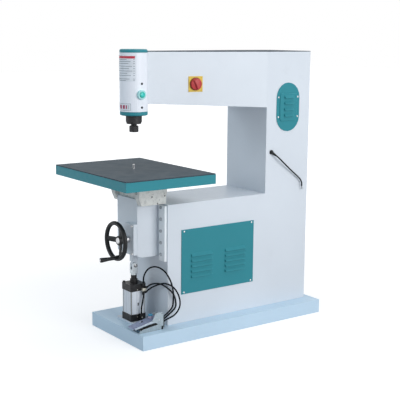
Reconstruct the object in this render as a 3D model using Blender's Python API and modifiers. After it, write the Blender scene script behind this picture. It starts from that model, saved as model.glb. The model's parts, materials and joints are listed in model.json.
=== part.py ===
"""Vertical milling machine with an overarm head, a foot-operated pneumatic lift and a small square table.

Metres, +Z up. The operator stands on the -Y side. The origin is on the floor, in the middle of the
base's footprint.
"""

import math

import bmesh
import bpy
from mathutils import Matrix, Vector

# Clearances between neighbours, and how far a cutter runs past a face
GAP = 0.0003
SLIDE_GAP = 0.0005
OVERRUN = 0.003
WELD_DISTANCE = 0.00001

# Facets round a circle
LARGE_SIDES = 40
ROUND_SIDES = 24
SMALL_SIDES = 16
TINY_SIDES = 10
HEX_SIDES = 6
SPAN_PARTS = 24

# Base box
BASE_WIDTH = 0.505
BASE_LENGTH = 1.164
BASE_HEIGHT = 0.073
BASE_PLATE = 0.006
BASE_HATCH_WIDTH = 0.360
BASE_HATCH_LENGTH = 0.380
BASE_HATCH_PLACE = 0.300

# Welded frame: bench, column and overarm in one C-shaped shell
FRAME_WIDTH = 0.338
FRAME_SHEET = 0.006
FRAME_FRONT = -0.383
FRAME_BACK = 0.540
BENCH_TOP = 0.6936
THROAT_BACK = 0.2415
ARM_UNDERSIDE_BACK = 1.153
ARM_UNDERSIDE_FRONT = 1.190
FRAME_TOP = 1.4414
ARM_NOSE_WIDTH = 0.092
ARM_NOSE_PLACE = -0.420
HATCH_LAND = 0.028
ARM_HATCH_LAND = 0.016
ARM_COVER_THICKNESS = 0.003

# Spindle head
HEAD_PLACE = -0.473
HEAD_RADIUS = 0.07035
HEAD_WALL = 0.008
HEAD_BOTTOM = 1.1507
HEAD_TOP = 1.4374
HEAD_COLLAR_HEIGHT = 0.044
BELT_WINDOW_WIDTH = 0.076
BELT_WINDOW_LOW = 1.260
BELT_WINDOW_HIGH = 1.420
CAP_INSET = 0.00085
CAP_HEIGHT = 0.0163
CAP_EDGE_RADIUS = 0.008
CAP_ARC_STEPS = 3
RING_HEIGHT = 0.0197
RING_EDGE_RADIUS = 0.006

# Bearing cartridge below the head
NOSE_RADIUS = 0.0405
NOSE_BOTTOM = 1.098
NOSE_TOP = 1.290
NOSE_BORE_RADIUS = 0.023
NOSE_LIP_HEIGHT = 0.0097
NOSE_LIP_RADIUS = 0.0375
NOSE_LIP_BORE_RADIUS = 0.020
NOSE_LIP_EDGE = 0.002
NOTCH_WIDTH = 0.009
NOTCH_DEPTH = 0.006
NOTCH_COUNT = 4
BEARING_RADIUS = 0.0257
BEARING_WIDTH = 0.018
BEARING_SHOULDER = 0.002
BEARING_SEAL_WIDTH = 0.005
BEARING_SEAL_DEPTH = 0.001

# Spindle, collet and its nut
SPINDLE_RADIUS = 0.015
SPINDLE_TOP = 1.400
SPINDLE_BOTTOM = 1.062
SPINDLE_SHOULDER_RADIUS = 0.019
SPINDLE_NECK_RADIUS = 0.0145
COLLET_SOCKET_RADIUS = 0.0105
COLLET_BOTTOM = 1.0472
COLLET_TOP = 1.094
COLLET_BORE_RADIUS = 0.0064
COLLET_SLOT_WIDTH = 0.0012
COLLET_SLOT_LENGTH = 0.036
COLLET_SLOT_PAIRS = 2
COLLET_NUT_RADIUS = 0.0233
COLLET_NUT_BOTTOM = 1.0476
COLLET_NUT_TOP = 1.0786
COLLET_NUT_CHAMFER = 0.0022
COLLET_NUT_GROOVES = 12
COLLET_NUT_GROOVE_RADIUS = 0.0016

# Belt drive
MOTOR_PLACE = 0.387
MOTOR_PULLEY_RADIUS = 0.120
SPINDLE_PULLEY_RADIUS = 0.024
PULLEY_BOTTOM = 1.300
PULLEY_TOP = 1.365
PULLEY_FLANGE = 0.003
PULLEY_RIM = 0.012
PULLEY_HUB_RADIUS = 0.030
PULLEY_WEB = 0.014
BELT_THICKNESS = 0.002
BELT_WIDTH = 0.050
BELT_ARC_STEPS = 14

# Motor in the column
MOTOR_RADIUS = 0.085
MOTOR_CORE_RADIUS = 0.076
MOTOR_FIN_COUNT = 20
MOTOR_FIN_SHARE = 0.45
MOTOR_BOTTOM = 1.020
MOTOR_TOP = 1.240
MOTOR_FLANGE_RADIUS = 0.100
MOTOR_FLANGE_THICKNESS = 0.012
MOTOR_SHAFT_RADIUS = 0.014
MOTOR_SHAFT_REACH = 0.080
FAN_COVER_HEIGHT = 0.034
FAN_COVER_EDGE = 0.008
MOTOR_PLATE_THICKNESS = 0.012
MOTOR_PLATE_HOLE_RADIUS = 0.045

# Bench cover and its louvres, on the +X side
COVER_SHEET = 0.003
COVER_FRONT = -0.3007
COVER_BACK = 0.1649
COVER_BOTTOM = 0.223
COVER_TOP = 0.5578
COVER_SCREW_SIDE = 0.016
COVER_SCREW_END = 0.009
LOUVRE_LENGTH = 0.130
LOUVRE_HEIGHT = 0.016
LOUVRE_DEPTH = 0.010
LOUVRE_LIP = 0.003
LOUVRE_SHEET = 0.0014
LOUVRE_LEDGE = 0.0008
LOUVRE_FIRST = 0.304
LOUVRE_PITCH = 0.0274
LOUVRE_ROWS = 5
LOUVRE_BANK_PLACE = 0.108
SCREW_HOLE_RADIUS = 0.0029

# Oval cover over the motor, on the +X side
OVAL_PLACE = 0.3866
OVAL_WIDTH = 0.1581
OVAL_BOTTOM = 1.0204
OVAL_TOP = 1.2794
OVAL_ARC_STEPS = 10
OVAL_SCREW_SPREAD = 0.134
OVAL_SCREW_LOW = 1.098
OVAL_SCREW_HIGH = 1.203
OVAL_PANEL_WIDTH = 0.1174
OVAL_PANEL_BOTTOM = 1.0767
OVAL_PANEL_TOP = 1.2222
OVAL_PANEL_RISE = 0.005
OVAL_PANEL_CORNER = 0.012
OVAL_PANEL_WALL = 0.002
OVAL_LOUVRE_LENGTH = 0.0611
OVAL_LOUVRE_LOW = 1.1000
OVAL_LOUVRE_PITCH = 0.0323
OVAL_LOUVRE_ROWS = 4
CORNER_STEPS = 3

# Reversing switch on the side of the arm
SWITCH_PLACE = -0.166
SWITCH_DROP = 0.1604
SWITCH_PLATE_SIDE = 0.078
SWITCH_PLATE_THICKNESS = 0.0025
SWITCH_BODY_SIDE = 0.040
SWITCH_BODY_DEPTH = 0.034
SWITCH_STEM_RADIUS = 0.005
SWITCH_KNOB_RADIUS = 0.0275
SWITCH_KNOB_LOW = 0.008
SWITCH_KNOB_HEIGHT = 0.022
SWITCH_GRIP_WIDTH = 0.012
SWITCH_GRIP_HEIGHT = 0.010

# Push button on the side of the head
BUTTON_HEIGHT = 1.235
BUTTON_COLLAR_RADIUS = 0.0235
BUTTON_COLLAR_FACE = 0.080
BUTTON_WELL_RADIUS = 0.0188
BUTTON_WELL_FLOOR = 0.0745
BUTTON_RADIUS = 0.0182
BUTTON_FACE = 0.0885
BUTTON_BACK = 0.0788
BUTTON_STEM_RADIUS = 0.010
BUTTON_STEM_REACH = 0.022
BUTTON_EDGE = 0.002

# Front slideway keepers and their bolts
KEEPER_INSET = 0.007
KEEPER_LIP_INNER = 0.110
KEEPER_BOTTOM = 0.405
KEEPER_DROP = 0.0056
KEEPER_LIP = 0.0065
KEEPER_BOLT_SIDE = 0.129
KEEPER_BOLT_DROP = 0.0156
KEEPER_BOLT_PITCH = 0.060
KEEPER_BOLT_ROWS = 5
BOLT_HOLE_RADIUS = 0.0044

# Knee casting that rides up the front of the frame
KNEE_WIDTH = 0.190
KNEE_FRONT = -0.515
KNEE_CAVITY_BACK = -0.405
KNEE_BOTTOM = 0.425
KNEE_TOP = 0.722
KNEE_WALL = 0.010
KNEE_FLOOR = 0.030
KNEE_CURVE_LENGTH = 0.050
KNEE_CURVE_RISE = 0.016
KNEE_CURVE_STEPS = 8
SLIDE_PLATE_WIDTH = 0.240
SLIDE_PLATE_THICKNESS = 0.007
SLIDE_PLATE_TOP = 0.686
GEARBOX_RIGHT = 0.094
GEARBOX_LEFT = 0.006
GEARBOX_FRONT = -0.537
GEARBOX_DROP = 0.0785
GEARBOX_RISE = 0.0805
GEARBOX_EDGE = 0.004
LUG_PLACE = -0.478
LUG_HALF_WIDTH = 0.016
LUG_HALF_DEPTH = 0.014
LUG_SHOULDER = 0.388
TONGUE_HALF_WIDTH = 0.007
TONGUE_HALF_DEPTH = 0.012
TONGUE_BOTTOM = 0.353
CLEVIS_PIN_HEIGHT = 0.367
CLEVIS_PIN_RADIUS = 0.006
CLEVIS_PIN_HEAD_RADIUS = 0.009
CLEVIS_PIN_HEAD = 0.004
JOURNAL_RISE = 0.006

# Lift screw, worm wheel and worm
SCREW_PLACE = -0.455
SCREW_RADIUS = 0.012
SCREW_TOP = 0.802
SCREW_TIP = 0.004
WHEEL_RADIUS = 0.0355
WHEEL_BOTTOM = 0.495
WHEEL_TOP = 0.542
WHEEL_TEETH = 20
WHEEL_TOOTH_DEPTH = 0.003
WHEEL_TOOTH_SHARE = 0.5
WHEEL_HUB_RADIUS = 0.021
WORM_CREST_RADIUS = 0.014
WORM_ROOT_RADIUS = 0.011
WORM_LENGTH = 0.060
WORM_TURNS = 5
WORM_SHAFT_RADIUS = 0.008
WHEEL_AXIS_SIDE = 0.050
BUSH_RADIUS = 0.0185
BUSH_LENGTH = 0.020
BUSH_EDGE = 0.003
RUNNING_GAP = 0.0003

# Handwheel and crank handle
HANDWHEEL_PLACE = -0.611
HANDWHEEL_RADIUS = 0.091
HANDWHEEL_RIM = 0.009
HANDWHEEL_BOSS_RADIUS = 0.022
HANDWHEEL_BOSS_WIDTH = 0.022
HANDWHEEL_HUB_RADIUS = 0.0165
HANDWHEEL_HUB_FRONT = 0.016
HANDWHEEL_HUB_BACK = 0.034
SPOKE_COUNT = 3
SPOKE_HUB_RADIUS = 0.0115
SPOKE_RIM_RADIUS = 0.0085
SPOKE_FLATNESS_SHARE = 0.55
RIM_MAJOR_STEPS = 40
RIM_MINOR_STEPS = 8
CRANK_ANGLE = -1.30
CRANK_RADIUS = 0.083
CRANK_BOSS_RADIUS = 0.012
CRANK_BOSS_HALF = 0.011
CRANK_PIN_RADIUS = 0.0045
HANDLE_LENGTH = 0.092
HANDLE_NECK_RADIUS = 0.0085
HANDLE_TIP_RADIUS = 0.012
HANDLE_WAIST_RADIUS = 0.0092
HANDLE_PIN_HEAD_RADIUS = 0.0062
HANDLE_PIN_HEAD = 0.003
HANDLE_BORE_RADIUS = 0.0049

# Table support casting
SUPPORT_LUG_OUTER = 0.132
SUPPORT_FLARE_OUTER = 0.150
SUPPORT_CHEEK = 0.014
SUPPORT_LUG_RISE = 0.0009
SUPPORT_BACK = -0.384
SUPPORT_CHEEK_BACK = -0.367
SUPPORT_FRONT_LOW = -0.511
SUPPORT_FRONT_KNEE = -0.526
SUPPORT_FRONT_MID = -0.530
SUPPORT_FRONT_TOP = -0.560
SUPPORT_KNEE_HEIGHT = 0.0345
SUPPORT_MID_HEIGHT = 0.0725
SUPPORT_DECK_THICKNESS = 0.030
SUPPORT_DECK_FRONT = -0.505
PILLAR_BOTTOM = 0.580
PILLAR_WALL = 0.008
NUT_RADIUS = 0.022
NUT_FLANGE_RADIUS = 0.030
NUT_FLANGE_THICKNESS = 0.007

# Table
TABLE_WIDTH = 0.697
TABLE_FRONT = -0.7304
TABLE_BACK = -0.2212
TABLE_RISE = 0.1174
TABLE_THICKNESS = 0.0513
TABLE_SHEET = 0.005
TABLE_LAMINATE = 0.005
TABLE_LAMINATE_INSET = 0.0008
TABLE_RAIL = 0.014
TABLE_RIB = 0.008
TABLE_RIB_HEIGHT = 0.022
TABLE_RIB_PLACES_SHARES = (0.36, -0.36)
GUIDE_PIN_PLACE = -0.475
GUIDE_PIN_RADIUS = 0.0065
GUIDE_PIN_HEIGHT = 0.024
GUIDE_PIN_TIP = 0.003
GUIDE_BOSS_RADIUS = 0.014
GUIDE_BOSS_HEIGHT = 0.014

# Pneumatic cylinder under the knee
MOUNTING_WIDTH = 0.184
MOUNTING_DEPTH = 0.091
MOUNTING_THICKNESS = 0.010
CYLINDER_CAP_SIDE = 0.090
CYLINDER_CAP_CORNER = 0.005
CYLINDER_BOTTOM_CAP_TOP = 0.1185
CYLINDER_TOP_CAP_BOTTOM = 0.2403
CYLINDER_TOP_CAP_TOP = 0.276
CYLINDER_GLAND_RADIUS = 0.0195
CYLINDER_GLAND_TOP = 0.315
CYLINDER_GLAND_STEP = 0.0045
BARREL_SIDE = 0.076
BARREL_CORNER = 0.010
BARREL_BORE_RADIUS = 0.0315
BARREL_CHANNEL_RADIUS = 0.007
BARREL_SLOT_RADIUS = 0.0035
TIE_ROD_PLACE = 0.0365
TIE_ROD_RADIUS = 0.0042
TIE_ROD_NUT_RADIUS = 0.0078
TIE_ROD_NUT_HEIGHT = 0.006
PISTON_RADIUS = 0.0312
PISTON_BOTTOM = 0.124
PISTON_HEIGHT = 0.020
PISTON_GROOVE = 0.004
PISTON_ROD_RADIUS = 0.010
FORK_BOTTOM = 0.325
FORK_TOP = 0.385
FORK_HALF_WIDTH = 0.016
FORK_SLOT_BOTTOM = 0.346
FORK_SOCKET_DEPTH = 0.014

# Air fittings on the cylinder
BLOCK_THICKNESS = 0.024
BLOCK_FRONT = -0.470
BLOCK_BACK = -0.441
BLOCK_BOTTOM = 0.230
BLOCK_TOP = 0.272
COLLAR_RADIUS = 0.0062
COLLAR_LENGTH = 0.010
PORT_BLOCK_SIDE = 0.020
PORT_BLOCK_HEIGHT = 0.018
PORT_BLOCK_LOW = 0.096

# Foot valve with its treadle
PEDAL_LEFT = 0.139
PEDAL_RIGHT = 0.204
PEDAL_FRONT = -0.568
PEDAL_BACK = -0.431
PEDAL_SHEET = 0.002
PEDAL_SIDE_HEIGHT = 0.020
PEDAL_HOOD_FRONT = -0.482
PEDAL_HOOD_TOP = 0.164
PEDAL_HOOD_SLOPE = 0.014
PEDAL_NECK_HEIGHT = 0.040
TREADLE_FRONT = -0.598
TREADLE_FRONT_HEIGHT = 0.104
TREADLE_BACK_HEIGHT = 0.136
TREADLE_BACK = -0.452
TREADLE_FLANGE = 0.009
TREADLE_SHEET = 0.0025
PEDAL_AXIS_PLACE = -0.458
PEDAL_AXIS_HEIGHT = 0.126
PEDAL_PIN_RADIUS = 0.003
PEDAL_EAR_RADIUS = 0.009
VALVE_WIDTH = 0.030
VALVE_FRONT = -0.440
VALVE_BACK = -0.4145
VALVE_TOP = 0.134
VALVE_PORT_SIDE = 0.172
VALVE_PORT_RADIUS = 0.0052
VALVE_PORT_LENGTH = 0.018

# Electrical plate inside the bench
PANEL_FRONT = -0.250
PANEL_BACK = 0.110
PANEL_BOTTOM = 0.260
PANEL_TOP = 0.540
PANEL_SHEET = 0.002
DEVICE_DEPTH = 0.070
DEVICE_WIDTH = 0.055
DEVICE_HEIGHT = 0.090
DEVICE_PITCH = 0.090
DEVICE_COUNT = 3

# Air hoses: their outer diameter and the routes that they follow
HOSE_DIAMETER = 0.008
HOSE_STEP = 0.019
HOSE_FACETS = 2
LONG_LOOP_ROUTE = (
    (0.0565, -0.4555, 0.2823), (0.0565, -0.4555, 0.2923), (0.058, -0.4543, 0.314), (0.066, -0.4476, 0.34),
    (0.081, -0.4367, 0.361), (0.104, -0.4221, 0.3719), (0.132, -0.4079, 0.3701), (0.162, -0.395, 0.355),
    (0.184, -0.384, 0.325), (0.1955, -0.375, 0.2908), (0.199, -0.369, 0.25), (0.199, -0.3685, 0.2092),
    (0.196, -0.375, 0.173), (0.1775, -0.4011, 0.135), (0.1745, -0.4085, 0.129),
)
MIDDLE_LOOP_ROUTE = (
    (0.06, -0.434, 0.26), (0.064, -0.4268, 0.2657), (0.076, -0.414, 0.275), (0.101, -0.401, 0.281),
    (0.135, -0.397, 0.283), (0.165, -0.392, 0.2765), (0.182, -0.3765, 0.26), (0.187, -0.358, 0.2348),
    (0.189, -0.348, 0.202), (0.189, -0.352, 0.165), (0.1775, -0.4011, 0.1215), (0.1745, -0.4085, 0.1155),
)
INNER_LOOP_ROUTE = (
    (0.06, -0.434, 0.24), (0.065, -0.428, 0.2462), (0.09, -0.419, 0.264), (0.128, -0.412, 0.2825),
    (0.162, -0.402, 0.295), (0.1815, -0.38, 0.289), (0.189, -0.356, 0.269), (0.196, -0.338, 0.238),
    (0.202, -0.33, 0.2034), (0.204, -0.335, 0.1682), (0.196, -0.358, 0.133), (0.1775, -0.4011, 0.108),
    (0.1745, -0.4085, 0.102),
)
CYLINDER_LINK_ROUTE = (
    (0.0565, -0.4555, 0.2197), (0.0565, -0.4555, 0.2097), (0.06, -0.462, 0.19), (0.062, -0.468, 0.17),
    (0.06, -0.47, 0.152), (0.0565, -0.468, 0.1343), (0.0565, -0.468, 0.1243),
)

# Mains lead out of the column, with its route measured from the hole in the column's side
LEAD_DIAMETER = 0.0075
LEAD_STEP = 0.017
GLAND_PLACE = 0.2777
GLAND_HEIGHT = 0.9135
GLAND_FLANGE_RADIUS = 0.012
GLAND_FLANGE = 0.005
GLAND_KNUCKLE_RADIUS = 0.0095
GLAND_NOSE_RADIUS = 0.0075
GLAND_NOSE_TIP_RADIUS = 0.0052
GLAND_NOSE_LENGTH = 0.026
LEAD_ROUTE = (
    (0.017, 0.0176, -0.016), (0.0216, 0.0242, -0.022), (0.025, 0.0403, -0.0355), (0.022, 0.0743, -0.0625),
    (0.017, 0.1303, -0.1055), (0.015, 0.1763, -0.14), (0.0145, 0.2003, -0.1615), (0.014, 0.2123, -0.1835),
    (0.014, 0.2113, -0.2005),
)

# Sheet of material colours
COLOURS = {
    "body_paint": ((0.72, 0.76, 0.80), 0.45, 0.0),
    "base_paint": ((0.52, 0.64, 0.74), 0.45, 0.0),
    "teal_paint": ((0.06, 0.28, 0.34), 0.40, 0.0),
    "support_paint": ((0.62, 0.60, 0.56), 0.55, 0.0),
    "dark_laminate": ((0.11, 0.13, 0.15), 0.50, 0.0),
    "black_steel": ((0.02, 0.02, 0.022), 0.40, 0.6),
    "black_plastic": ((0.015, 0.015, 0.017), 0.45, 0.0),
    "bright_steel": ((0.62, 0.62, 0.64), 0.25, 1.0),
    "galvanised": ((0.58, 0.62, 0.64), 0.45, 0.8),
    "anodised": ((0.70, 0.70, 0.70), 0.35, 0.9),
    "cast_iron": ((0.18, 0.18, 0.19), 0.65, 0.5),
    "motor_paint": ((0.10, 0.22, 0.30), 0.50, 0.1),
    "brass": ((0.60, 0.44, 0.20), 0.35, 1.0),
    "belt_rubber": ((0.05, 0.04, 0.035), 0.80, 0.0),
    "hose_black": ((0.012, 0.012, 0.014), 0.50, 0.0),
    "yellow_plastic": ((0.85, 0.60, 0.03), 0.40, 0.0),
    "red_plastic": ((0.62, 0.03, 0.03), 0.35, 0.0),
    "white_plastic": ((0.80, 0.80, 0.80), 0.40, 0.0),
    "green_plastic": ((0.02, 0.50, 0.40), 0.35, 0.0),
    "device_grey": ((0.30, 0.31, 0.33), 0.55, 0.0),
}

# Worked out from the sizes above
FLOOR_OF_FRAME = BASE_HEIGHT + GAP
SIDE_FACE = FRAME_WIDTH / 2
SWITCH_HEIGHT = FRAME_TOP - SWITCH_DROP
ARM_TAPER = math.atan((SIDE_FACE - ARM_NOSE_WIDTH / 2) / (THROAT_BACK - ARM_NOSE_PLACE))
HEAD_BORE = HEAD_RADIUS - HEAD_WALL
COLLAR_BORE = NOSE_RADIUS + GAP
LOWER_BEARING = NOSE_BOTTOM + BEARING_SHOULDER
UPPER_BEARING = NOSE_TOP - BEARING_WIDTH - BEARING_SHOULDER
MOTOR_FLANGE_BOTTOM = MOTOR_TOP
MOTOR_PLATE_BOTTOM = MOTOR_TOP + MOTOR_FLANGE_THICKNESS + GAP
SLIDE_PLATE_FRONT = FRAME_FRONT - GAP - SLIDE_PLATE_THICKNESS
KEEPER_LIP_BACK = SLIDE_PLATE_FRONT - GAP
KEEPER_FACE = KEEPER_LIP_BACK - KEEPER_LIP
KEEPER_OUTER = SIDE_FACE - KEEPER_INSET
KEEPER_TOP = BENCH_TOP - KEEPER_DROP
KEEPER_BOLT_TOP = BENCH_TOP - KEEPER_BOLT_DROP
JOURNAL_FLOOR = KNEE_BOTTOM + JOURNAL_RISE
WHEEL_AXIS_HEIGHT = (WHEEL_BOTTOM + WHEEL_TOP) / 2
GEARBOX_BOTTOM = WHEEL_AXIS_HEIGHT - GEARBOX_DROP
GEARBOX_TOP = WHEEL_AXIS_HEIGHT + GEARBOX_RISE
SUPPORT_LUG_BOTTOM = BENCH_TOP + SUPPORT_LUG_RISE
DECK_BOTTOM = KNEE_TOP + GAP
DECK_TOP = DECK_BOTTOM + SUPPORT_DECK_THICKNESS
TABLE_BOTTOM = BENCH_TOP + TABLE_RISE
TABLE_TOP = TABLE_BOTTOM + TABLE_THICKNESS
TABLE_DECK_TOP = TABLE_TOP - TABLE_LAMINATE - GAP
CYLINDER_FLOOR = FLOOR_OF_FRAME + MOUNTING_THICKNESS + GAP
WORM_BORE = WORM_SHAFT_RADIUS + RUNNING_GAP
PEDAL_FLOOR = BASE_HEIGHT + GAP
UP = Vector((0, 0, 1))
TURN = math.tau

PLANES = {
    "XY": Matrix.Identity(4),
    "YZ": Matrix(((0, 0, 1, 0), (1, 0, 0, 0), (0, 1, 0, 0), (0, 0, 0, 1))),
    "XZ": Matrix(((1, 0, 0, 0), (0, 0, -1, 0), (0, 1, 0, 0), (0, 0, 0, 1))),
}


# Scene set-up

def clear_scene():
    for obj in list(bpy.data.objects):
        bpy.data.objects.remove(obj)


def make_collection(name):
    collection = bpy.data.collections.new(name)
    bpy.context.scene.collection.children.link(collection)
    return collection


def make_material(name):
    colour, roughness, metallic = COLOURS[name]
    found = bpy.data.materials.get(name)
    if found:
        return found
    made = bpy.data.materials.new(name)
    made.use_nodes = True
    shader = made.node_tree.nodes["Principled BSDF"]
    shader.inputs["Base Color"].default_value = (*colour, 1)
    shader.inputs["Roughness"].default_value = roughness
    shader.inputs["Metallic"].default_value = metallic
    made.diffuse_color = (*colour, 1)
    return made


clear_scene()
PARTS = make_collection("vertical_milling_machine")
CUTTERS = make_collection("cutters")


# Shapes

def add_object(name, data):
    obj = bpy.data.objects.new(name, data)
    PARTS.objects.link(obj)
    return obj


def mesh_object(name, shape):
    mesh = bpy.data.meshes.new(name)
    shape.to_mesh(mesh)
    shape.free()
    return add_object(name, mesh)


def box(name, low, high):
    low = Vector(low)
    high = Vector(high)
    shape = bmesh.new()
    bmesh.ops.create_cube(shape, size=1, matrix=Matrix.Diagonal((*(high - low), 1)))
    obj = mesh_object(name, shape)
    obj.location = (low + high) / 2
    return obj


def rod(name, start, end, radius, sides=ROUND_SIDES, end_radius=None):
    """A cylinder, or a cone where end_radius is given, from start to end."""
    start = Vector(start)
    end = Vector(end)
    shape = bmesh.new()
    bmesh.ops.create_cone(
        shape, cap_ends=True, segments=sides, radius1=radius,
        radius2=radius if end_radius is None else end_radius, depth=(end - start).length)
    obj = mesh_object(name, shape)
    obj.rotation_euler = (end - start).to_track_quat("Z", "Y").to_euler()
    obj.location = (start + end) / 2
    return obj


def turned(name, profile, place=(0, 0, 0), direction=UP, sides=ROUND_SIDES):
    """Turn (radius, height) points about an axis. A profile that starts at radius 0 is open at the axis."""
    on_axis = profile[0][0] == 0
    points = [(radius, 0, height) for radius, height in profile]
    edges = [(index, index + 1) for index in range(len(points) - 1)]
    if not on_axis:
        edges.append((len(points) - 1, 0))
    mesh = bpy.data.meshes.new(name)
    mesh.from_pydata(points, edges, [])
    obj = add_object(name, mesh)
    obj.location = place
    obj.rotation_euler = Vector(direction).to_track_quat("Z", "Y").to_euler()
    screw = obj.modifiers.new("turn", "SCREW")
    screw.axis = "Z"
    screw.angle = TURN
    screw.steps = sides
    screw.render_steps = sides
    screw.use_merge_vertices = True
    screw.merge_threshold = WELD_DISTANCE
    screw.use_smooth_shade = True
    return obj


def evaluated_mesh(obj):
    bpy.context.view_layer.update()
    return bpy.data.meshes.new_from_object(obj.evaluated_get(bpy.context.evaluated_depsgraph_get()))


def curve_to_mesh(name, obj):
    """Replace a curve by its mesh, with the caps welded on."""
    mesh = evaluated_mesh(obj)
    shape = bmesh.new()
    shape.from_mesh(mesh)
    bmesh.ops.remove_doubles(shape, verts=shape.verts, dist=WELD_DISTANCE)
    bmesh.ops.recalc_face_normals(shape, faces=shape.faces)
    solid = mesh_object(name, shape)
    solid.matrix_world = obj.matrix_world.copy()
    bpy.data.meshes.remove(mesh)
    bpy.data.objects.remove(obj)
    return solid


def plate(name, outlines, low, high, plane="XY"):
    """Flat outlines, the first with the others as holes in it, from low to high along the plane's normal."""
    curve = bpy.data.curves.new(name, "CURVE")
    curve.dimensions = "2D"
    curve.fill_mode = "BOTH"
    curve.extrude = (high - low) / 2
    for outline in outlines:
        spline = curve.splines.new("POLY")
        spline.points.add(len(outline) - 1)
        for point, (across, along) in zip(spline.points, outline):
            point.co = (across, along, 0, 1)
        spline.use_cyclic_u = True
    middle = (low + high) / 2
    obj = add_object(name + "_outline", curve)
    direction = -middle if plane == "XZ" else middle
    obj.matrix_world = PLANES[plane] @ Matrix.Translation((0, 0, direction))
    return curve_to_mesh(name, obj)


def arc(across, along, radius, start, end, steps, second_radius=None):
    other = radius if second_radius is None else second_radius
    angles = [start + (end - start) * step / steps for step in range(steps + 1)]
    return [(across + radius * math.cos(angle), along + other * math.sin(angle)) for angle in angles]


def circle(across, along, radius, sides=ROUND_SIDES):
    return arc(across, along, radius, 0, TURN, sides)[:-1]


def rounded_outline(low_across, low_along, high_across, high_along, radius, steps=CORNER_STEPS):
    centres = (
        (high_across - radius, high_along - radius), (low_across + radius, high_along - radius),
        (low_across + radius, low_along + radius), (high_across - radius, low_along + radius))
    points = []
    for quarter, (across, along) in enumerate(centres):
        start = quarter * TURN / 4
        points += arc(across, along, radius, start, start + TURN / 4, steps)
    return points


def stadium(middle, low, high, width, steps=OVAL_ARC_STEPS):
    radius = width / 2
    return (arc(middle, high - radius, radius, 0, math.pi, steps)
            + arc(middle, low + radius, radius, math.pi, TURN, steps))


def smooth_route(route, step):
    """Points every step along a smooth curve through the route, whose two end spans stay straight."""
    knots = [Vector(point) for point in route]
    fine = []
    for before, start, end, after in zip(knots, knots[1:], knots[2:], knots[3:]):
        for part_of_span in range(SPAN_PARTS):
            t = part_of_span / SPAN_PARTS
            fine.append((start * 2 + (end - before) * t + (before * 2 - start * 5 + end * 4 - after) * t ** 2
                         + (start * 3 - before - end * 3 + after) * t ** 3) / 2)
    fine.append(knots[-2])
    length = sum((b - a).length for a, b in zip(fine, fine[1:]))
    count = max(2, round(length / step))
    points = [knots[0], fine[0]]
    travelled = 0
    for a, b in zip(fine, fine[1:]):
        travelled += (b - a).length
        if travelled >= length / count * (len(points) - 1) and len(points) <= count:
            points.append(b)
    return points + [fine[-1], knots[-1]]


def tube(name, route, step, diameter):
    curve = bpy.data.curves.new(name, "CURVE")
    curve.dimensions = "3D"
    curve.bevel_depth = diameter / 2
    curve.bevel_resolution = HOSE_FACETS
    curve.use_fill_caps = True
    points = smooth_route(route, step)
    spline = curve.splines.new("POLY")
    spline.points.add(len(points) - 1)
    for point, place in zip(spline.points, points):
        point.co = (*place, 1)
    return add_object(name, curve)


# Joining and cutting

def combine(target, tools, operation):
    for tool in tools:
        tool.hide_render = True
        tool.display_type = "WIRE"
        PARTS.objects.unlink(tool)
        CUTTERS.objects.link(tool)
        step = target.modifiers.new(operation.lower(), "BOOLEAN")
        step.operation = operation
        step.solver = "EXACT"
        step.object = tool
    return target


def cut(target, *tools):
    return combine(target, tools, "DIFFERENCE")


def fuse(target, *tools):
    return combine(target, tools, "UNION")


def overlap(target, *tools):
    return combine(target, tools, "INTERSECT")


def gather(name, pieces):
    """One object that holds several separate solids."""
    group = bmesh.new()
    for piece in pieces:
        mesh = evaluated_mesh(piece)
        mesh.transform(piece.matrix_world)
        group.from_mesh(mesh)
        bpy.data.meshes.remove(mesh)
    for piece in pieces:
        bpy.data.objects.remove(piece)
    return mesh_object(name, group)


def bevel(obj, width, segments=1):
    edge = obj.modifiers.new("edge", "BEVEL")
    edge.width = width
    edge.segments = segments
    edge.limit_method = "ANGLE"
    return obj


def mirrored(value):
    return ((1, value), (-1, value))


def part(obj, material, body=None):
    """Give a finished piece its material and hang it on the empty of its body."""
    if obj.type == "MESH":
        obj.data.materials.clear()
        obj.data.shade_smooth()
        obj.data.set_sharp_from_angle(angle=math.pi / 6)
    obj.data.materials.append(make_material(material))
    if body:
        bpy.context.view_layer.update()
        obj.parent = body
        obj.matrix_parent_inverse = body.matrix_world.inverted()
    return obj


def joint_empty(name, place, parent=None):
    empty = bpy.data.objects.new(name, None)
    PARTS.objects.link(empty)
    empty.location = place
    bpy.context.view_layer.update()
    if parent:
        empty.parent = parent
        empty.matrix_parent_inverse = parent.matrix_world.inverted()
        bpy.context.view_layer.update()
    return empty


# Base and frame

def make_base():
    half = Vector((BASE_WIDTH / 2, BASE_LENGTH / 2, 0))
    wall = Vector((BASE_PLATE, BASE_PLATE, BASE_PLATE))
    top = Vector((0, 0, BASE_HEIGHT))
    base = box("base_plinth", -half, half + top)
    tools = [box("base_hollow", wall - half, half + top - wall)]
    for side, place in mirrored(BASE_HATCH_PLACE):
        middle = side * place
        tools.append(box(
            "base_hatch", (-BASE_HATCH_WIDTH / 2, middle - BASE_HATCH_LENGTH / 2, -OVERRUN),
            (BASE_HATCH_WIDTH / 2, middle + BASE_HATCH_LENGTH / 2, BASE_PLATE + OVERRUN)))
    part(cut(base, *tools), "base_paint")


def arm_half_width(place, inset=0):
    """Half of the overarm's width, measured at right angles to its length."""
    run = (place - ARM_NOSE_PLACE) * math.tan(ARM_TAPER)
    return min(ARM_NOSE_WIDTH / 2 + run - inset / math.cos(ARM_TAPER), SIDE_FACE - inset)


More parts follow.
